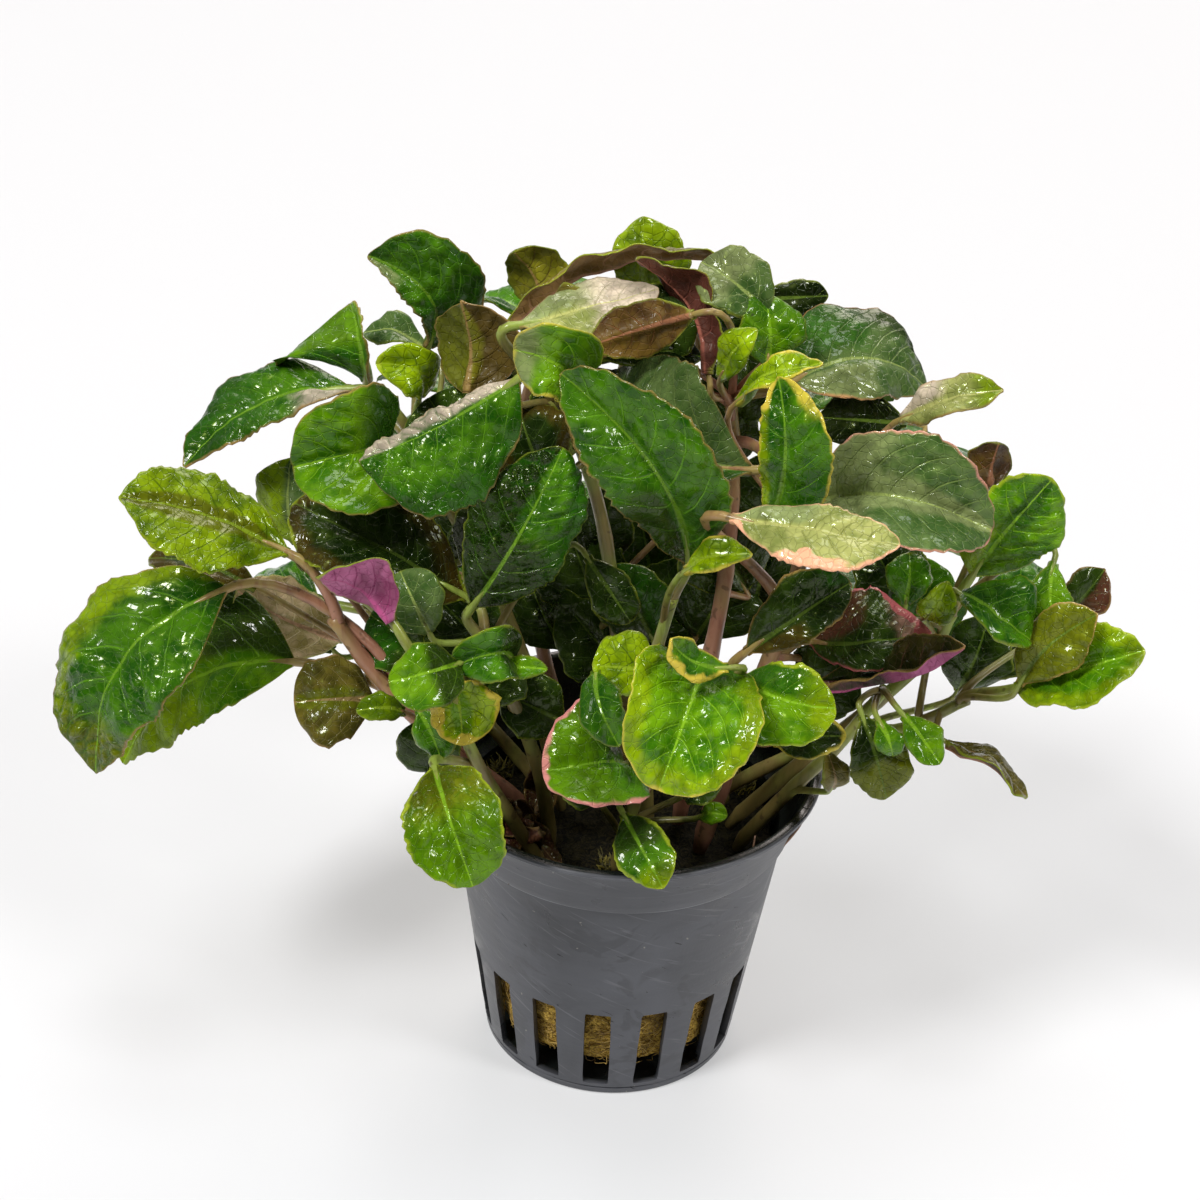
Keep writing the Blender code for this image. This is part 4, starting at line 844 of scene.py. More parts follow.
# %% Relief of a blade
TOOTH_LENGTH = 1.75
TOOTH_DEPTH = 0.42
TEETH_START = 0.12
CUSHION_SIZE = 2.1
BLADE_THICKNESS = 0.32
RIB_THICKNESS = 0.85
CLOSEST_VEINS = 3.2
VEINS_ON_A_SIDE = 6.5
WAVE_LENGTH = 8.5
POINT_SPACING = 0.44
CROSS_SPACING = 0.48
COARSE = 1.6
TIP_CROWDING = 1.35
# Heights, in millimetres, of what stands out of a blade or sinks into it
SWELL_HEIGHT = 0.34
CUSHION_HEIGHT = 0.48
WAVE_HEIGHT = 0.50
RIB_GROOVE = 0.26
LUMPS = ((9.0, 0.26), (3.4, 0.12), (1.7, 0.055))


def smooth_step(values, start, end):
    share = np.clip((values - start) / (end - start), 0, 1)
    return share * share * (3 - 2 * share)


def smooth_noise(points, size, seed):
    """A soft wandering value from about -1 to 1, made of crossing waves, size millimetres long."""
    waves = np.random.default_rng(seed)
    total = np.zeros(points.shape[:-1])
    for _ in range(7):
        way = unit(waves.normal(size=3)) * 2 * math.pi / size * waves.uniform(0.6, 1.5)
        total += np.sin(points @ way + waves.uniform(0, 2 * math.pi))
    return total / 3.2


def cushion_edges(x, y, size, chance):
    """How far each point of a flattened leaf is from the smallest veins round its cushion."""
    across = np.arange(x.min() - size, x.max() + 2 * size, size)
    up = np.arange(y.min() - size, y.max() + 2 * size, size)
    centres = np.stack(np.meshgrid(across, up), -1).reshape(-1, 2)
    centres = centres + chance.uniform(-0.42, 0.42, centres.shape) * size
    gaps = np.hypot(x[..., None] - centres[:, 0], y[..., None] - centres[:, 1])
    nearest = np.partition(gaps, 1, axis=-1)
    return (nearest[..., 1] - nearest[..., 0]) / 2


def tooth_shape(phase, chance):
    """Saw teeth that rise slowly and drop fast; each one is a little longer or shorter."""
    heights = chance.uniform(0.35, 1.25, 200)
    number = np.floor(phase).astype(int) % 200
    part = phase % 1.0
    return heights[number] * np.where(part < 0.72, (part / 0.72) ** 0.75, ((1 - part) / 0.28) ** 1.3)


def place_share(place, t, s, from_edge):
    """How much of a place of the blade each point belongs to, from 0 to 1."""
    if place == "all":
        return np.ones_like(t)
    if place == "edge":
        return 1 - smooth_step(from_edge, 0.5, 4.5)
    if place == "left":
        return smooth_step(-s, -0.05, 0.35)
    if place == "right":
        return smooth_step(s, -0.05, 0.35)
    if place == "outer_left":
        return smooth_step(-s, 0.30, 0.95)
    if place == "outer_right":
        return smooth_step(s, 0.30, 0.95)
    if place == "middle":
        return 1 - smooth_step(abs(s), 0.12, 0.42)
    if place == "tip":
        return smooth_step(t, 0.60, 0.98)
    if place == "base":
        return 1 - smooth_step(t, 0.10, 0.45)
    if place == "far_half":
        return smooth_step(t, 0.30, 0.70)
    return 1 - smooth_step(t, 0.30, 0.70)


def second_colours(row, t, s, from_edge):
    """How much of its further colours a leaf has at each point, and which mixture of them."""
    share = np.zeros_like(t)
    colour = np.zeros(t.shape + (3,))
    for tint, *spots in row["second"]:
        add = np.ones_like(t)
        for spot in spots:
            add = add * place_share(spot, t, s, from_edge)
        colour = colour * (1 - add[..., None]) + np.array(TINTS[tint]) * add[..., None]
        share = share + add - share * add
    return share, colour / np.maximum(share, 1e-4)[..., None]


def blade_grid(row, seed):
    """Points of the upper side and underside, and what the finish needs to know at each."""
    chance = np.random.default_rng(seed)
    length = float(np.linalg.norm(row["tip"] - row["base"])) * 1.1
    spacing = COARSE if row.get("coarse") else 1.0
    rows = int(np.clip(length / POINT_SPACING / spacing, 14, 66))
    columns = 2 * int(np.clip(row["width"] / CROSS_SPACING / 2 / spacing, 4, 21))
    t = 1 - (1 - np.linspace(0, 1, rows + 1)) ** TIP_CROWDING
    s = np.linspace(-1, 1, columns + 1)
    s = np.sign(s) * abs(s) ** 0.9
    _, across, normal = (v[:, None, :] for v in blade_frames(row, t))
    full = half_width(t, row)
    full = full * (1 - 0.28 * np.exp(-(t / 0.09) ** 1.3)) * (1 - row["point"] * np.exp(-(1 - t) / 0.06))
    full = full[:, None]
    t, s = np.meshgrid(t, s, indexing="ij")
    share = np.where(s < 0, row["left"], row["right"])
    bow = 1 + 0.05 * np.sin(2 * math.pi * (1.2 * t + chance.uniform())) * np.sign(s)
    bow = bow + 0.035 * np.sin(2 * math.pi * (2.7 * t + chance.uniform())) * np.sign(s)
    phase = t * length / TOOTH_LENGTH * chance.uniform(0.85, 1.15) + 40 + 3.3 * (s > 0)
    phase = phase + 0.35 * np.sin(phase * 0.9)
    depth = TOOTH_DEPTH * min(1.25, row["width"] / 13) * smooth_step(t, TEETH_START, TEETH_START + 0.2)
    tooth = depth * (tooth_shape(phase, chance) - 0.5)
    reach = full * share * bow + tooth * abs(s) ** 4
    reach = np.maximum(reach, np.where(t < 0.5, BLADE_NECK, BLADE_END))
    fold = math.radians(row["fold"])
    curl = math.radians(row["curl"]) * np.minimum(1.0, full / (row["width"] / 2) + CURL_AT_ENDS)
    end = fold + curl * abs(s)
    out = (np.sin(end) - math.sin(fold)) / curl
    rise = (math.cos(fold) - np.cos(end)) / curl
    spine = midrib_point(row, t)
    sign = np.sign(s)[..., None]
    points = spine + across * sign * (out * reach)[..., None] + normal * (rise * reach)[..., None]
    skin = normal * np.cos(end)[..., None] - across * sign * np.sin(end)[..., None]
    from_rib = abs(s) * reach
    from_edge = np.minimum((1 - abs(s)) * reach, (1 - t) * length)
    veins = max(CLOSEST_VEINS, length / VEINS_ON_A_SIDE)
    lean = from_rib * (0.45 + 0.55 * abs(s))
    vein_row = (t * length - lean) / veins + 20.5 + 0.5 * (s > 0)
    between = abs((vein_row % 1.0) - 0.5) * 2
    inland = (1 - np.exp(-(from_rib / 0.9) ** 2)) * (1 - abs(s) ** 6)
    puff = (1 - between ** 3) * inland
    cell_edge = cushion_edges(t * length - 0.5 * from_rib, s * reach, CUSHION_SIZE, chance)
    ends = row["pucker"] if isinstance(row["pucker"], tuple) else (row["pucker"], row["pucker"])
    pucker = ends[0] + (ends[1] - ends[0]) * smooth_step(t, 0.25, 0.8)
    pucker = pucker * (0.75 + 0.5 * smooth_noise(points, 14.0, seed + 3))
    pucker = np.clip(pucker, 0, 1.3)
    cushion = smooth_step(cell_edge, 0.0, 0.85) * inland
    turns = length / WAVE_LENGTH * t + chance.uniform() + 0.3 * np.sign(s)
    wave = np.sin(2 * math.pi * turns) * abs(s) ** 2.2
    relief = SWELL_HEIGHT * row["quilt"] * (puff - 0.5) + CUSHION_HEIGHT * pucker * (cushion - 0.5)
    relief += WAVE_HEIGHT * row["wave"] * wave * np.clip(t * 3, 0, 1)
    relief -= RIB_GROOVE * np.exp(-(from_rib / 0.40) ** 2) * (1 - 0.6 * t)
    for number, (size, height) in enumerate(LUMPS):
        relief += height * smooth_noise(points, size, seed + number)
    relief *= np.minimum(1.0, (1 - t) * 6 + 0.15) * np.minimum(1.0, t * 6 + 0.05)
    top = points + skin * relief[..., None]
    thick = BLADE_THICKNESS * (1 - 0.55 * abs(s) ** 6)
    thick = thick + RIB_THICKNESS * np.exp(-(from_rib / 0.55) ** 2) * (1 - t) ** 0.7
    low = top - skin * thick[..., None]
    tone = row.get("tone", chance.uniform(0.88, 1.12))
    share, colour = second_colours(row, t, s, from_edge)
    rim_width = RIMS[row["rim"]][1] * np.clip(0.75 + 0.75 * smooth_noise(points, 11.0, seed + 4), 0.1, 1.6)
    if row["rim_at"]:
        rim_width = rim_width * (0.12 + 0.88 * place_share(row["rim_at"], t, s, from_edge))
    maps = {
        "leaf_place": np.stack((t, from_rib, from_edge), -1),
        "leaf_veins": np.stack((vein_row, cell_edge, pucker), -1),
        "leaf_mix": np.stack((share, np.full_like(t, tone), rim_width), -1),
        "leaf_flat": np.stack((t * length + 31 * seed, s * reach + 17 * seed, t * 0), -1),
        "leaf_second": colour,
    }
    return top, low, maps


# %% Meshes and pieces


def closed_sheet(top, low):
    """Faces of a closed sheet between two grids of points; the first ones are the upper side."""
    rows, columns = top.shape[:2]
    index = np.arange(rows * columns).reshape(rows, columns)
    a, b, c, d = index[:-1, :-1], index[1:, :-1], index[1:, 1:], index[:-1, 1:]
    upper = np.stack((a, d, c, b), -1).reshape(-1, 4)
    under = np.stack((a, b, c, d), -1).reshape(-1, 4) + rows * columns
    rim = np.concatenate((index[0, :-1], index[:-1, -1], index[-1, :0:-1], index[:0:-1, 0]))
    after = np.roll(rim, -1)
    side = np.stack((rim, rim + rows * columns, after + rows * columns, after), -1)
    return np.concatenate((top.reshape(-1, 3), low.reshape(-1, 3))), np.concatenate((upper, under, side))


def fill_mesh(name, points, faces):
    """A mesh from arrays of points in millimetres and four-cornered faces."""
    mesh = bpy.data.meshes.new(name)
    mesh.from_pydata((points * MM).tolist(), [], faces.tolist())
    mesh.shade_smooth()
    return mesh


def keep_on_mesh(mesh, name, values):
    """Stores one number or one vector for each point, for the material to read."""
    kind = "FLOAT_VECTOR" if values.ndim == 2 else "FLOAT"
    field = mesh.attributes.new(name, kind, "POINT")
    stored_as = "vector" if kind == "FLOAT_VECTOR" else "value"
    field.data.foreach_set(stored_as, values.astype(np.float32).ravel())


def show(name, mesh, materials, slot, *nodes):
    """Puts a piece on the plant: it rides on the one body and may stand for solids."""
    piece = bpy.data.objects.new(name, mesh)
    bpy.context.scene.collection.objects.link(piece)
    for material in materials:
        mesh.materials.append(material)
    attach(piece, "root")
    if nodes:
        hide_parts(*nodes)
    return piece


def make_blade(name, row, seed):
    top, low, maps = blade_grid(row, seed)
    points, faces = closed_sheet(top, low)
    mesh = fill_mesh(name, points, faces)
    for key, values in maps.items():
        keep_on_mesh(mesh, key, np.concatenate((values.reshape(-1, 3), values.reshape(-1, 3))))
    keep_on_mesh(mesh, "leaf_rim", np.tile(RIMS[row["rim"]][0], (len(points), 1)))
    upper = (top.shape[0] - 1) * (top.shape[1] - 1)
    sides = np.ones(len(faces), np.int32)
    sides[:upper] = 0
    sides[2 * upper:] = 0
    mesh.polygons.foreach_set("material_index", sides)
    materials = (upper_skins[row["look"]], lower_skins[row["under"]])
    nodes = ["leaf_" + name] if row["solo"] and "leaf_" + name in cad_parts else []
    return show("blade_" + name, mesh, materials, "leaf_" + row["look"].replace("pale", "grey"), *nodes)


blades = [make_blade(name, row, seed) for seed, (name, row) in enumerate(LEAVES.items(), 100)]
print("blades:", len(blades), "faces:", sum(len(piece.data.polygons) for piece in blades))

# %% [markdown]
# Stems and leaf stalks are tapered tubes. The stem follows a smooth curve through the solid's own
# points, and a stalk leaves it steeply, bends over, and ends inside the foot of its blade, where
# the blade's own rib takes over. Curve objects with a bevel would do, but a mesh tube can carry how
# far along it each point is, and the finish needs that: a stalk is pale green at the blade and
# brown or pink towards the stem.

# %% Stem finish
STALK_LOOKS = {
    "green": {"foot": (0.20, 0.15, 0.045), "head": (0.26, 0.34, 0.050), "line": (0.10, 0.10, 0.02)},
    "red": {"foot": (0.34, 0.155, 0.095), "head": (0.30, 0.22, 0.060), "line": (0.18, 0.055, 0.035)},
}


def stem_material(name, look):
    material, tree, shader, places = new_material(name)
    along = read_three(tree, "stem_place")[0]
    lines = add_noise(tree, add_stretch(tree, places, (1.0, 1.0, 0.22)), 1100.0, 3.0)
    cloud = add_noise(tree, places, 160.0, 2.0)
    share = add_maths(tree, "ADD", along, add_fade(tree, cloud, 0.2, 0.8, -0.35, 0.35))
    skin = add_mix(tree, add_fade(tree, share, 0.15, 0.85), look["foot"], look["head"])
    skin = add_mix(tree, add_fade(tree, lines, 0.45, 0.75, 0.0, 0.55), skin, look["line"])
    spots = add_noise(tree, places, 700.0, 1.0)
    skin = add_mix(tree, add_fade(tree, spots, 0.66, 0.72, 0.0, 0.6), skin, (0.06, 0.03, 0.012))
    feed(tree, shader["Base Color"], skin)
    feed(tree, shader["Roughness"], add_fade(tree, cloud, 0.3, 0.7, 0.30, 0.50))
    feed(tree, shader["Normal"], add_bump(tree, lines, 0.5, 0.0002))
    shader["Specular Tint"].default_value = (1.0, 0.95, 0.8, 1.0)
    shader["Coat Weight"].default_value = 0.20
    shader["Coat Roughness"].default_value = 0.15
    return material


stem_skins = {name: stem_material("stem_skin_" + name, look) for name, look in STALK_LOOKS.items()}
print("stem finishes:", ", ".join(stem_skins))

# %% Tubes, stems and stalks
STEM_RADIUS = 1.05
THICK_STEMS = {"shoot_right": 1.35, "shoot_left_low": 1.3, "shoot_right_mid": 1.2}
STEM_TAPER = 0.3
HIGHEST_STALK = 0.97
STALK_RADIUS = 0.80
SMALL_STALK_RADIUS = 0.52
STALK_RISE = 0.25
STALK_REACH = 0.3
STALK_END = 1.2
RED_SHOOTS = ("shoot_left_low", "shoot_right", "shoot_right_mid", "shoot_back_left")


def smooth_path(points, steps):
    """A curve through the points, steps pieces to a stretch."""
    points = np.asarray(points, float)
    padded = np.concatenate((2 * points[:1] - points[1:2], points, 2 * points[-1:] - points[-2:-1]))
    made = []
    for p0, p1, p2, p3 in zip(padded, padded[1:], padded[2:], padded[3:]):
        for u in np.linspace(0, 1, steps, endpoint=False):
            ahead = 2 * p1 + (p2 - p0) * u + (2 * p0 - 5 * p1 + 4 * p2 - p3) * u ** 2
            made.append((ahead + (3 * p1 - p0 - 3 * p2 + p3) * u ** 3) / 2)
    return np.array(made + [points[-1]])


def tube(path, radii, sides, first_along=0.0, last_along=1.0):
    """A closed tube: its points, four-cornered faces, and (along, around, 0) for each point."""
    way = unit(np.gradient(path, axis=0))
    side = unit(np.cross(way[0], (0.3, 0.9, 0.2)))
    rings = []
    angles = np.linspace(0, 2 * math.pi, sides, endpoint=False)
    for point, heading, radius in zip(path, way, radii):
        side = unit(side - heading * side.dot(heading))
        other = np.cross(heading, side)
        rings.append(point + radius * (np.cos(angles)[:, None] * side + np.sin(angles)[:, None] * other))
    rings[0] = path[0] + (rings[0] - path[0]) * 0.6
    ends = [path[0] + (rings[0] - path[0]) * 0.05, path[-1] + (rings[-1] - path[-1]) * 0.05]
    points = np.concatenate((ends[0], *rings, ends[1]))
    count = len(path) + 2
    index = np.arange(count * sides).reshape(count, sides)
    right = np.roll(index, -1, 1)
    faces = np.stack((index[:-1], right[:-1], right[1:], index[1:]), -1).reshape(-1, 4)
    along = np.linspace(first_along, last_along, count).repeat(sides)
    place = np.stack((along, np.tile(angles, count), np.zeros(count * sides)), -1)
    return points, faces, place


def join_parts(parts):
    """Several sets of points, faces and places as one."""
    points, faces, places, start = [], [], [], 0
    for part_points, part_faces, part_places in parts:
        points.append(part_points)
        faces.append(part_faces + start)
        places.append(part_places)
        start += len(part_points)
    return np.concatenate(points), np.concatenate(faces), np.concatenate(places)


def stem_point(points, along):
    spot = along * (len(points) - 1)
    low = min(int(spot), len(points) - 2)
    return points[low] + (points[low + 1] - points[low]) * (spot - low)


def stalk_path(start, row):
    """From the stem to the blade's foot, and a little way into its rib."""
    heading = midrib_direction(row, 0.0)
    straight = row["base"] - heading * STALK_END
    length = np.linalg.norm(straight - start)
    first = start + np.array((0, 0, 1)) * length * STALK_RISE
    second = straight - heading * length * STALK_REACH
    t = np.linspace(0, 1, 12)[:, None]
    u = 1 - t
    free = start * u ** 3 + first * 3 * u * u * t + second * 3 * u * t * t + straight * t ** 3
    under = np.linspace(0.01, 0.16, 4)
    normal = blade_frames(row, under)[2]
    return np.concatenate((free, midrib_point(row, under) - normal * np.linspace(0.28, 0.62, 4)[:, None]))


def make_stalk(start, row):
    path = stalk_path(start, row)
    thick = row.get("stalk", STALK_RADIUS if row["solo"] else SMALL_STALK_RADIUS)
    free = thick * np.linspace(1.0, 0.78, 12) * (1 + 0.25 * np.exp(-np.linspace(0, 6, 12)))
    return tube(path, np.concatenate((free, thick * np.array((0.70, 0.58, 0.42, 0.22)))), 8)


def make_shoot(name):
    corners = np.array(STEMS[name], float)
    path = smooth_path(corners, 6)
    spread = np.linspace(0, 1, len(path))
    taper = THICK_STEMS.get(name, STEM_RADIUS) * (1 - STEM_TAPER * spread)
    knots = 1 + 0.12 * np.maximum(0, np.cos(2 * math.pi * (len(corners) + 1) * spread)) ** 8
    path[0, 2] -= 0.6
    parts = [tube(path, taper * knots, 12, 0.0, 0.6)]
    for row in LEAVES.values():
        if row["shoot"] == name:
            parts.append(make_stalk(stem_point(corners, min(row["along"], HIGHEST_STALK)), row))
    points, faces, place = join_parts(parts)
    mesh = fill_mesh("stem_" + name, points, faces)
    keep_on_mesh(mesh, "stem_place", place)
    skin = stem_skins["red" if name in RED_SHOOTS else "green"]
    return show("stem_" + name.replace("shoot_", ""), mesh, [skin], "stem_skin", name)


shoots = [make_shoot(name) for name in STEMS]
print("shoots:", len(shoots))

# %% [markdown]
# The pot is one thin moulding: a flat foot, a wall that widens upwards, sixteen upright slots with
# slightly rounded corners, a step, a flared collar and a flat lip. Cutting the slots with a Boolean
# is quick, but it leaves long thin faces that shade badly. Here the wall is laid out in columns
# that match the slots, so a slot is simply where no faces are made, and its sides are closed.

# %% The pot's outline
FOOT_RADIUS = 17.6
WALL_SLOPE = 0.142
WALL_THICKNESS = 1.0
SLOTS = 16
FIRST_SLOT = -93.75
SLOT_ROWS = (1.9, 2.25, 3.2, 6.0, 9.0, 12.0, 14.6, 15.45, 15.8)
SLOT_LINES = (-1.8, -1.5, -0.75, 0.0, 0.75, 1.5, 1.8)
BAR_LINES = 5
CORNER = 0.29
MEAN_RADIUS = 24.0
SCRATCH_SLANT = -24
LIP_RINGS = 13


def wall_radius(height):
    return FOOT_RADIUS + WALL_SLOPE * height


WALL_ABOVE = (17.0, 20.0, 24.0, 28.0, 32.0, 35.6)
OUTSIDE = [(8.0, 0.45), (15.8, 0.45), (16.1, 0.0), (17.35, 0.0), (17.6, 0.16), (17.72, 0.95),
           (17.58, 1.12), (17.8, 1.32)]
OUTSIDE += [(wall_radius(z), z) for z in SLOT_ROWS + WALL_ABOVE]
COLLAR = [(22.80, 36.10), (23.30, 36.22), (23.50, 36.50), (23.75, 37.4), (24.5, 39.8), (25.3, 42.2),
          (25.85, 43.6), (26.05, 44.0), (26.4, 44.15), (26.85, 44.2), (27.0, 44.36), (27.0, 44.78),
          (26.86, 44.95), (26.6, 45.0), (26.1, 45.0), (25.8, 44.96), (25.56, 44.78), (25.44, 44.3),
          (24.9, 42.4), (24.0, 39.8), (23.1, 37.5), (22.6, 36.9), (21.85, 36.3)]
INSIDE = [(wall_radius(z) - WALL_THICKNESS, z) for z in WALL_ABOVE[::-1] + SLOT_ROWS[::-1]]
INSIDE += [(16.7, 1.45), (16.3, 1.2), (8.0, 1.2)]
print("rings of the pot:", len(OUTSIDE) + len(COLLAR) + len(INSIDE))

# %% The pot's mesh


def column_angles(radius):
    """Where the columns stand on a ring: across each slot, then across the bar beside it."""
    pitch = 2 * math.pi / SLOTS
    slot = [math.asin(line / max(radius, 6.0)) for line in SLOT_LINES]
    edge = slot[-1]
    bar = [edge + (pitch - 2 * edge) * (n + 1) / (BAR_LINES + 1) for n in range(BAR_LINES)]
    first = math.radians(FIRST_SLOT)
    return np.array([first + k * pitch + a for k in range(SLOTS) for a in slot + bar])


def make_pot():
    chance = np.random.default_rng(31)
    rings = OUTSIDE + COLLAR + INSIDE
    low_out, low_in = OUTSIDE.index((wall_radius(1.9), 1.9)), len(rings) - 3 - len(SLOT_ROWS)
    points = []
    columns = SLOTS * (len(SLOT_LINES) + BAR_LINES)
    for radius, height in rings:
        angle = column_angles(radius)
        points.append(np.stack((radius * np.cos(angle), radius * np.sin(angle),
                                np.full(columns, height)), -1))
    points = np.array(points)
    slot_out = range(low_out, low_out + len(SLOT_ROWS) - 1)
    slot_in = range(low_in, low_in + len(SLOT_ROWS) - 1)
    across = len(SLOT_LINES) - 1
    pitch = len(SLOT_LINES) + BAR_LINES
    # Round the corners of each slot a little, and fray its edges as moulding flash does
    for k in range(SLOTS):
        left, right = k * pitch, k * pitch + across
        for top, bottom in ((low_out + len(SLOT_ROWS) - 1, low_out), (low_in, low_in + len(SLOT_ROWS) - 1)):
            inward = 1 if top > bottom else -1
            for row, step in ((top, -inward), (bottom, inward)):
                for column, turn in ((left, 1), (right, -1)):
                    corner = points[row, column]
                    points[row, column] = corner + CORNER * (points[row + step, column] - corner) \
                        + CORNER * (points[row, column + turn] - corner)
            for row in range(min(top, bottom), max(top, bottom) + 1):
                for column in (left, right):
                    points[row, column] += chance.normal(0, 0.035, 3)
    index = np.arange(len(rings) * columns).reshape(len(rings), columns)
    following = np.roll(index, -1, 1)
    in_slot = np.arange(columns) % pitch < across
    faces = []
    for row in range(len(rings) - 1):
        open_row = row in slot_out or row in slot_in
        for column in np.flatnonzero(~in_slot) if open_row else range(columns):
            faces.append((index[row, column], following[row, column],
                          following[row + 1, column], index[row + 1, column]))
    last = low_in + len(SLOT_ROWS) - 1
    for k in range(SLOTS):
        left, right = k * pitch, k * pitch + across
        for n in range(len(SLOT_ROWS) - 1):
            outer, inner = low_out + n, last - n
            faces.append((index[outer, left], index[outer + 1, left],
                          index[inner - 1, left], index[inner, left]))
            faces.append((index[outer + 1, right], index[outer, right],
                          index[inner, right], index[inner - 1, right]))
        for column in range(left, right):
            foot, head = low_out, low_out + len(SLOT_ROWS) - 1
            faces.append((index[foot, column + 1], index[foot, column],
                          index[last, column], index[last, column + 1]))
            faces.append((index[head, column], index[head, column + 1],
                          index[low_in, column + 1], index[low_in, column]))
    faces.append(tuple(index[0][::-1]))
    faces.append(tuple(index[-1]))
    mesh = bpy.data.meshes.new("pot_shell")
    flat = points.reshape(-1, 3)
    mesh.from_pydata((flat * MM).tolist(), [], [tuple(int(v) for v in face) for face in faces])
    mesh.shade_smooth()
    mesh.set_sharp_from_angle(angle=math.radians(35))
    inside = np.zeros(len(rings))
    inside[len(OUTSIDE) + LIP_RINGS:] = 1.0
    around = np.arctan2(flat[:, 1], flat[:, 0]) * MEAN_RADIUS
    place = np.stack((around, flat[:, 2], inside.repeat(columns)), -1)
    keep_on_mesh(mesh, "pot_place", place)
    slant = math.radians(SCRATCH_SLANT)
    along = around * math.cos(slant) + flat[:, 2] * math.sin(slant)
    aside = flat[:, 2] * math.cos(slant) - around * math.sin(slant)
    keep_on_mesh(mesh, "pot_slant", np.stack((along, aside, flat[:, 2] * 0), -1))
    return show("pot_shell", mesh, [pot_plastic()], "pot_plastic", "pot")


# %% [markdown]
# The pot is black recycled plastic that a nursery has handled: outside it is scuffed to a soft
# blue-grey with stains, thin slanting scratches, short dark nicks and a few dried drops, and inside
# the lip it is still black and wet. A plain dark grey would do from far away. Here the outside and
# the inside are told apart by a number on the mesh, and the marks run along the wall's own
# unrolled surface.

# %% The pot's finish
# Height and half width in millimetres, and strength, of each pale line
WORN_LINES = ((36.35, 0.16, 0.75), (39.7, 0.12, 0.30), (44.55, 0.30, 0.35))


def pot_plastic():
    material, tree, shader, places = new_material("pot_plastic_scuffed")
    _, height, inside = read_three(tree, "pot_place")
    slant = add_attribute(tree, "pot_slant").outputs["Vector"]
    cloud = add_noise(tree, places, 70.0, 4.0, 0.6)
    stain = add_fade(tree, add_noise(tree, places, 130.0, 3.0, 1.2), 0.56, 0.62)
    grain = add_noise(tree, places, 2600.0, 2.0)
    skin = add_mix(tree, add_fade(tree, cloud, 0.3, 0.7), (0.050, 0.052, 0.060), (0.088, 0.091, 0.104))
    skin = add_mix(tree, add_maths(tree, "MULTIPLY", stain, 0.45), skin, (0.028, 0.029, 0.033))
    long_strokes = add_noise(tree, add_stretch(tree, slant, (0.10, 1.6, 1.0)), 1.0, 3.0)
    scratch = add_fade(tree, long_strokes, 0.60, 0.72)
    skin = add_mix(tree, add_maths(tree, "MULTIPLY", scratch, 0.45), skin, (0.16, 0.16, 0.175))
    short_strokes = add_noise(tree, add_stretch(tree, slant, (0.28, 1.9, 1.0)), 1.0, 2.0, 0.4)
    nick = add_fade(tree, short_strokes, 0.715, 0.735)
    skin = add_mix(tree, nick, skin, (0.010, 0.010, 0.012))
    speck = add_fade(tree, add_noise(tree, places, 1300.0, 1.0), 0.775, 0.80)
    skin = add_mix(tree, add_maths(tree, "MULTIPLY", speck, 0.6), skin, (0.30, 0.28, 0.24))
    # Two worn lines run round the collar, and the lip's edge is rubbed pale too
    for level, reach, pale in WORN_LINES:
        off = add_maths(tree, "ABSOLUTE", add_maths(tree, "SUBTRACT", height, level))
        line = add_fade(tree, off, 0.0, reach, pale, 0.0)
        worn = add_maths(tree, "MULTIPLY", line, add_fade(tree, cloud, 0.30, 0.55))
        skin = add_mix(tree, worn, skin, (0.26, 0.27, 0.29))
    skin = add_mix(tree, inside, skin, (0.005, 0.007, 0.0065))
    feed(tree, shader["Base Color"], skin)
    rough = add_fade(tree, cloud, 0.3, 0.7, 0.34, 0.50)
    rough = add_maths(tree, "MULTIPLY_ADD", stain, -0.10, rough)
    feed(tree, shader["Roughness"], add_maths(tree, "MULTIPLY_ADD", inside, -0.12, rough))
    unrolled = add_attribute(tree, "pot_place").outputs["Vector"]
    ripples = add_noise(tree, add_stretch(tree, unrolled, (0.05, 0.35, 1.0)), 1.0, 2.0)
    relief = add_maths(tree, "MULTIPLY_ADD", grain, 0.10, add_maths(tree, "MULTIPLY", ripples, 0.8))
    relief = add_maths(tree, "MULTIPLY_ADD", nick, -0.8, relief)
    relief = add_maths(tree, "MULTIPLY_ADD", scratch, 0.08, relief)
    feed(tree, shader["Normal"], add_bump(tree, relief, 0.5, 0.0003))
    shader["Specular IOR Level"].default_value = 0.5
    return material


pot = make_pot()
print("pot faces:", len(pot.data.polygons))

# %% [markdown]
# The plug is mineral wool: a tangle of golden-brown fibres that has shrunk a little from the wall,
# with wet black peat and some moss on top. The body is a turned form with a lumpy surface, and
# loose fibres lie over it where a slot lets one look in. Hair would be the usual tool for fibres,
# but each one here is a thin real tube, so that the meshes are whole without Blender.

# %% The wool plug
PLUG_FOOT = 4.4
PLUG_SHOULDER = 33.4
PLUG_CROWN = 33.9
PLUG_SHRINK = 0.55
PLUG_COLUMNS = 150
FIBRES_PER_SLOT = 78
FIBRE_RADIUS = (0.035, 0.075)


def plug_radius(height):
    """The wool keeps clear of the slots below and touches the wall above them."""
    gap = 0.25 + PLUG_SHRINK * (1 - smooth_step(np.asarray(height, float), 15.0, 21.0))
    return wall_radius(height) - WALL_THICKNESS - gap


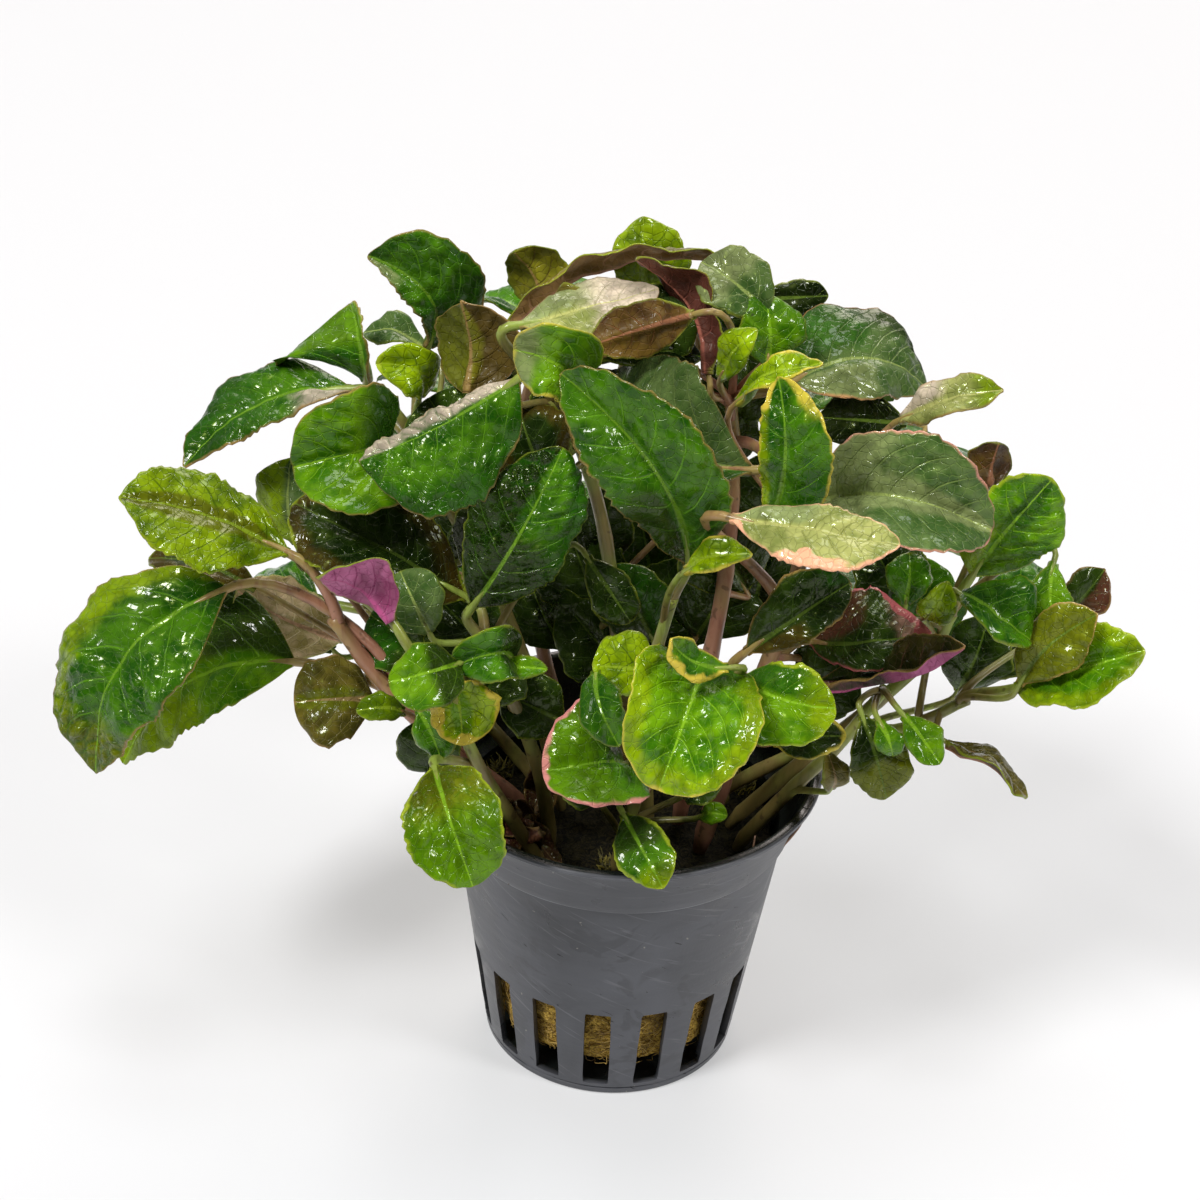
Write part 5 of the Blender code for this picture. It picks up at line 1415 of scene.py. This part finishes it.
def wool_finish():
    material, tree, shader, places = new_material("wool_golden")
    strands = add_noise(tree, add_stretch(tree, places, (1.0, 1.0, 1.6)), 900.0, 4.0, 2.5)
    cloud = add_noise(tree, places, 260.0, 3.0, 0.8)
    skin = add_mix(tree, add_fade(tree, strands, 0.36, 0.62), (0.19, 0.105, 0.016), (0.68, 0.45, 0.09))
    skin = add_mix(tree, add_fade(tree, cloud, 0.48, 0.68, 0.0, 0.55), skin, (0.08, 0.045, 0.009))
    split = tree.nodes.new("ShaderNodeSeparateXYZ")
    feed(tree, split.inputs[0], places)
    level = add_maths(tree, "MULTIPLY_ADD", cloud, 0.004, split.outputs[2])
    peat = add_mix(tree, add_fade(tree, strands, 0.4, 0.62), (0.003, 0.0028, 0.002), (0.020, 0.016, 0.005))
    skin = add_mix(tree, add_fade(tree, level, 0.0300, 0.0345), skin, peat)
    feed(tree, shader["Base Color"], skin)
    feed(tree, shader["Roughness"], add_fade(tree, strands, 0.3, 0.7, 0.95, 0.75))
    relief = add_maths(tree, "MULTIPLY_ADD", strands, 0.7, add_maths(tree, "MULTIPLY", cloud, 0.5))
    feed(tree, shader["Normal"], add_bump(tree, relief, 0.9, 0.0006))
    shader["Specular IOR Level"].default_value = 0.12
    return material


def make_plug():
    side = [(float(plug_radius(z)), z) for z in np.linspace(PLUG_FOOT + 0.9, PLUG_SHOULDER, 44)]
    foot = [(r, PLUG_FOOT) for r in (1.5, 5.0, 9.0, 12.5, 14.4)] + [(15.5, PLUG_FOOT + 0.3)]
    top = [(r, PLUG_CROWN + 1.2 * (1 - (r / 21) ** 2)) for r in np.linspace(20.4, 1.5, 26)]
    rings = foot + side + top
    angle = np.linspace(0, 2 * math.pi, PLUG_COLUMNS, endpoint=False)
    points = np.array([[(r * math.cos(a), r * math.sin(a), z) for a in angle] for r, z in rings])
    lump = 0.30 * smooth_noise(points, 4.0, 41) + 0.16 * smooth_noise(points, 1.7, 42)
    outward = points * (1, 1, 0)
    outward = outward / np.linalg.norm(outward, axis=-1, keepdims=True)
    on_top = (np.arange(len(rings)) >= len(foot) + len(side))[:, None]
    on_side = (np.arange(len(rings)) >= len(foot) - 1)[:, None] & ~on_top
    points = points + outward * np.where(on_side, lump - 0.2, 0)[..., None]
    hills = 0.55 * smooth_noise(points, 9.0, 43) + 0.35 * smooth_noise(points, 2.6, 44)
    from_wall = 21 - np.hypot(points[..., 0], points[..., 1])
    points[..., 2] += np.where(on_top, hills, 0) * np.clip(from_wall / 3, 0, 1)
    points[..., 2] += np.where(~on_top & ~on_side, 0.4 * lump, 0)
    count = len(rings)
    index = np.arange(count * PLUG_COLUMNS).reshape(count, PLUG_COLUMNS)
    right = np.roll(index, -1, 1)
    faces = np.stack((index[:-1], right[:-1], right[1:], index[1:]), -1).reshape(-1, 4).tolist()
    faces += [index[0][::-1].tolist(), index[-1].tolist()]
    mesh = bpy.data.meshes.new("wool_body")
    mesh.from_pydata((points.reshape(-1, 3) * MM).tolist(), [], faces)
    mesh.shade_smooth()
    return show("wool_body", mesh, [wool_skin], "wool", "wool_plug")


def strand_finish(name, dark, light, rough):
    """Fibres, moss and roots: the colour differs from strand to strand."""
    material, tree, shader, places = new_material(name)
    tone = read_three(tree, "stem_place")[2]
    grain = add_noise(tree, places, 1400.0, 2.0)
    share = add_maths(tree, "MULTIPLY_ADD", add_fade(tree, grain, 0.3, 0.7), 0.35, tone)
    feed(tree, shader["Base Color"], add_mix(tree, add_fade(tree, share, 0.1, 1.1), dark, light))
    feed(tree, shader["Roughness"], add_fade(tree, grain, 0.3, 0.7, rough, rough + 0.2))
    feed(tree, shader["Normal"], add_bump(tree, grain, 0.4, 0.0001))
    return material


def strands_piece(name, parts, material, slot):
    points, faces, place = join_parts(parts)
    mesh = fill_mesh(name, points, faces)
    keep_on_mesh(mesh, "stem_place", place)
    return show(name, mesh, [material], slot)


def tint(part, tone):
    part[2][:, 2] = tone
    return part


def make_fibres():
    chance = np.random.default_rng(51)
    parts = []
    for k in range(SLOTS):
        middle = math.radians(FIRST_SLOT) + 2 * math.pi * k / SLOTS
        for _ in range(FIBRES_PER_SLOT):
            x, z = chance.uniform(-2.7, 2.7), chance.uniform(4.9, 15.6)
            way = chance.uniform(0, 2 * math.pi)
            bend = chance.normal(0, 0.55)
            lift = chance.uniform(0.0, 0.42)
            path = []
            for n in range(7):
                radius = float(plug_radius(np.clip(z, 4.5, 17))) - 0.12 + lift * math.sin(math.pi * n / 6)
                angle = middle + x / radius
                path.append((radius * math.cos(angle), radius * math.sin(angle), z))
                x = np.clip(x + 0.55 * math.cos(way), -3.0, 3.0)
                z = np.clip(z + 0.55 * math.sin(way), 4.5, 16.4)
                way += bend
            radii = np.full(7, chance.uniform(*FIBRE_RADIUS)) * np.array((0.6, 1, 1, 1, 1, 1, 0.5))
            parts.append(tint(tube(np.array(path), radii, 3), chance.uniform(0, 1)))
    return strands_piece("wool_fibres", parts, fibre_skin, "wool")


wool_skin = wool_finish()
fibre_skin = strand_finish("wool_fibre", (0.13, 0.075, 0.012), (0.58, 0.38, 0.09), 0.55)
plug = make_plug()
fibres = make_fibres()
print("plug faces:", len(plug.data.polygons), "fibre faces:", len(fibres.data.polygons))

# %% [markdown]
# On the peat grow tufts of moss, a few thin pink roots feel their way over the edge, and round the
# stems lies what is left of old leaves, brown and crumpled. The tufts and roots are tubes like the
# stalks. The old leaves are rows of the leaf table's kind, drawn by chance, because nobody knows
# one crumpled scrap from another.

# %% Moss and roots
MOSS_PATCHES = ((-9, -20, 3.2), (-4, -21.5, 2.6), (2, -21, 2.8), (-14, -15, 2.5), (6, -17, 2.2),
                (13, -16, 2.4), (-17, 9, 3.0), (0, 20, 3.4), (16, 10, 2.8), (-1, -11, 2.0))
TUFTS = 22
MOSS_RADII = np.array((0.13, 0.20, 0.17, 0.12, 0.04))
PEAT_LEVEL = 34.6
ROOTS = {
    "right_loop": [(19, -10, 35), (22.3, -9, 38.5), (24.2, -8, 41.3), (23.2, -9, 42.6), (21, -11, 40.2),
                   (18.5, -13, 37.2)],
    "right_edge": [(15.5, -15.5, 35), (17.2, -15.6, 38), (17.6, -15.4, 41), (17.8, -14.6, 43.5)],
    "front": [(5, -19.5, 35), (8.5, -19.2, 36.3), (12, -18.4, 36.2), (14.5, -17.2, 35.4)],
    "left": [(-18, -9, 35), (-21, -10, 38.4), (-23.5, -11, 42.8), (-25.4, -12.5, 44.2)],
    "back": [(6, 18, 35), (10, 20, 38), (13, 21, 41), (14.5, 22.5, 44.4)],
}


def make_moss():
    chance = np.random.default_rng(61)
    parts = []
    for x, y, spread in MOSS_PATCHES:
        for _ in range(TUFTS):
            spot = np.array((x, y, PEAT_LEVEL - 0.9)) + chance.normal(0, 0.45, 3) * (spread, spread, 0.3)
            radius = np.hypot(spot[0], spot[1])
            spot[:2] *= min(1.0, 20.2 / radius)
            for _ in range(4):
                lean = chance.normal(0, 0.55, 3)
                lean[2] = 1.0
                tip = spot + lean * chance.uniform(1.1, 2.2)
                middle = (spot + tip) / 2 + chance.normal(0, 0.2, 3)
                path = smooth_path([spot, middle, tip], 2)
                parts.append(tint(tube(path, MOSS_RADII, 4), chance.uniform(0, 1)))
    return strands_piece("moss", parts, moss_skin, "wool")


def make_roots():
    parts = []
    for number, points in enumerate(ROOTS.values()):
        path = smooth_path(points, 5)
        parts.append(tint(tube(path, np.linspace(0.26, 0.10, len(path)), 6), 0.2 + 0.15 * number))
    return strands_piece("roots", parts, root_skin, "stem_skin")


moss_skin = strand_finish("moss_green", (0.020, 0.018, 0.003), (0.16, 0.13, 0.012), 0.6)
root_skin = strand_finish("root_pink", (0.16, 0.085, 0.05), (0.36, 0.20, 0.12), 0.5)
print("moss faces:", len(make_moss().data.polygons), "root faces:", len(make_roots().data.polygons))

# %% Old leaves round the stems
SCRAPS = 17
SCRAPS_MIDDLE = (-13.5, -9.5, 40.0)
SCRAPS_LOWEST = 37.0


def make_scraps():
    chance = np.random.default_rng(71)
    made = []
    for number in range(SCRAPS):
        turn = chance.uniform(0, 360)
        middle = np.array(SCRAPS_MIDDLE) + chance.normal(0, 1.0, 3) * (3.4, 2.6, 2.6)
        middle[2] = max(middle[2], SCRAPS_LOWEST)
        reach = chance.uniform(2.6, 4.2) * unit(chance.normal(0, 1, 3) * (1.0, 0.7, 0.6))
        row = leaf("none", 0, middle - reach, middle + reach, chance.uniform(4.0, 6.5), (turn, 35), "brown",
                   fold=chance.uniform(15, 45), curl=chance.uniform(-60, 40), arch=chance.uniform(-1.5, 2.0),
                   under="umber", rim="tan", pucker=1.0, wave=1.4, tone=chance.uniform(0.45, 0.8),
                   second=(("wine", "edge"),), coarse=1)
        made.append(make_blade(f"scrap_{number + 1}", row, 700 + number))
    return made


print("scraps:", len(make_scraps()))
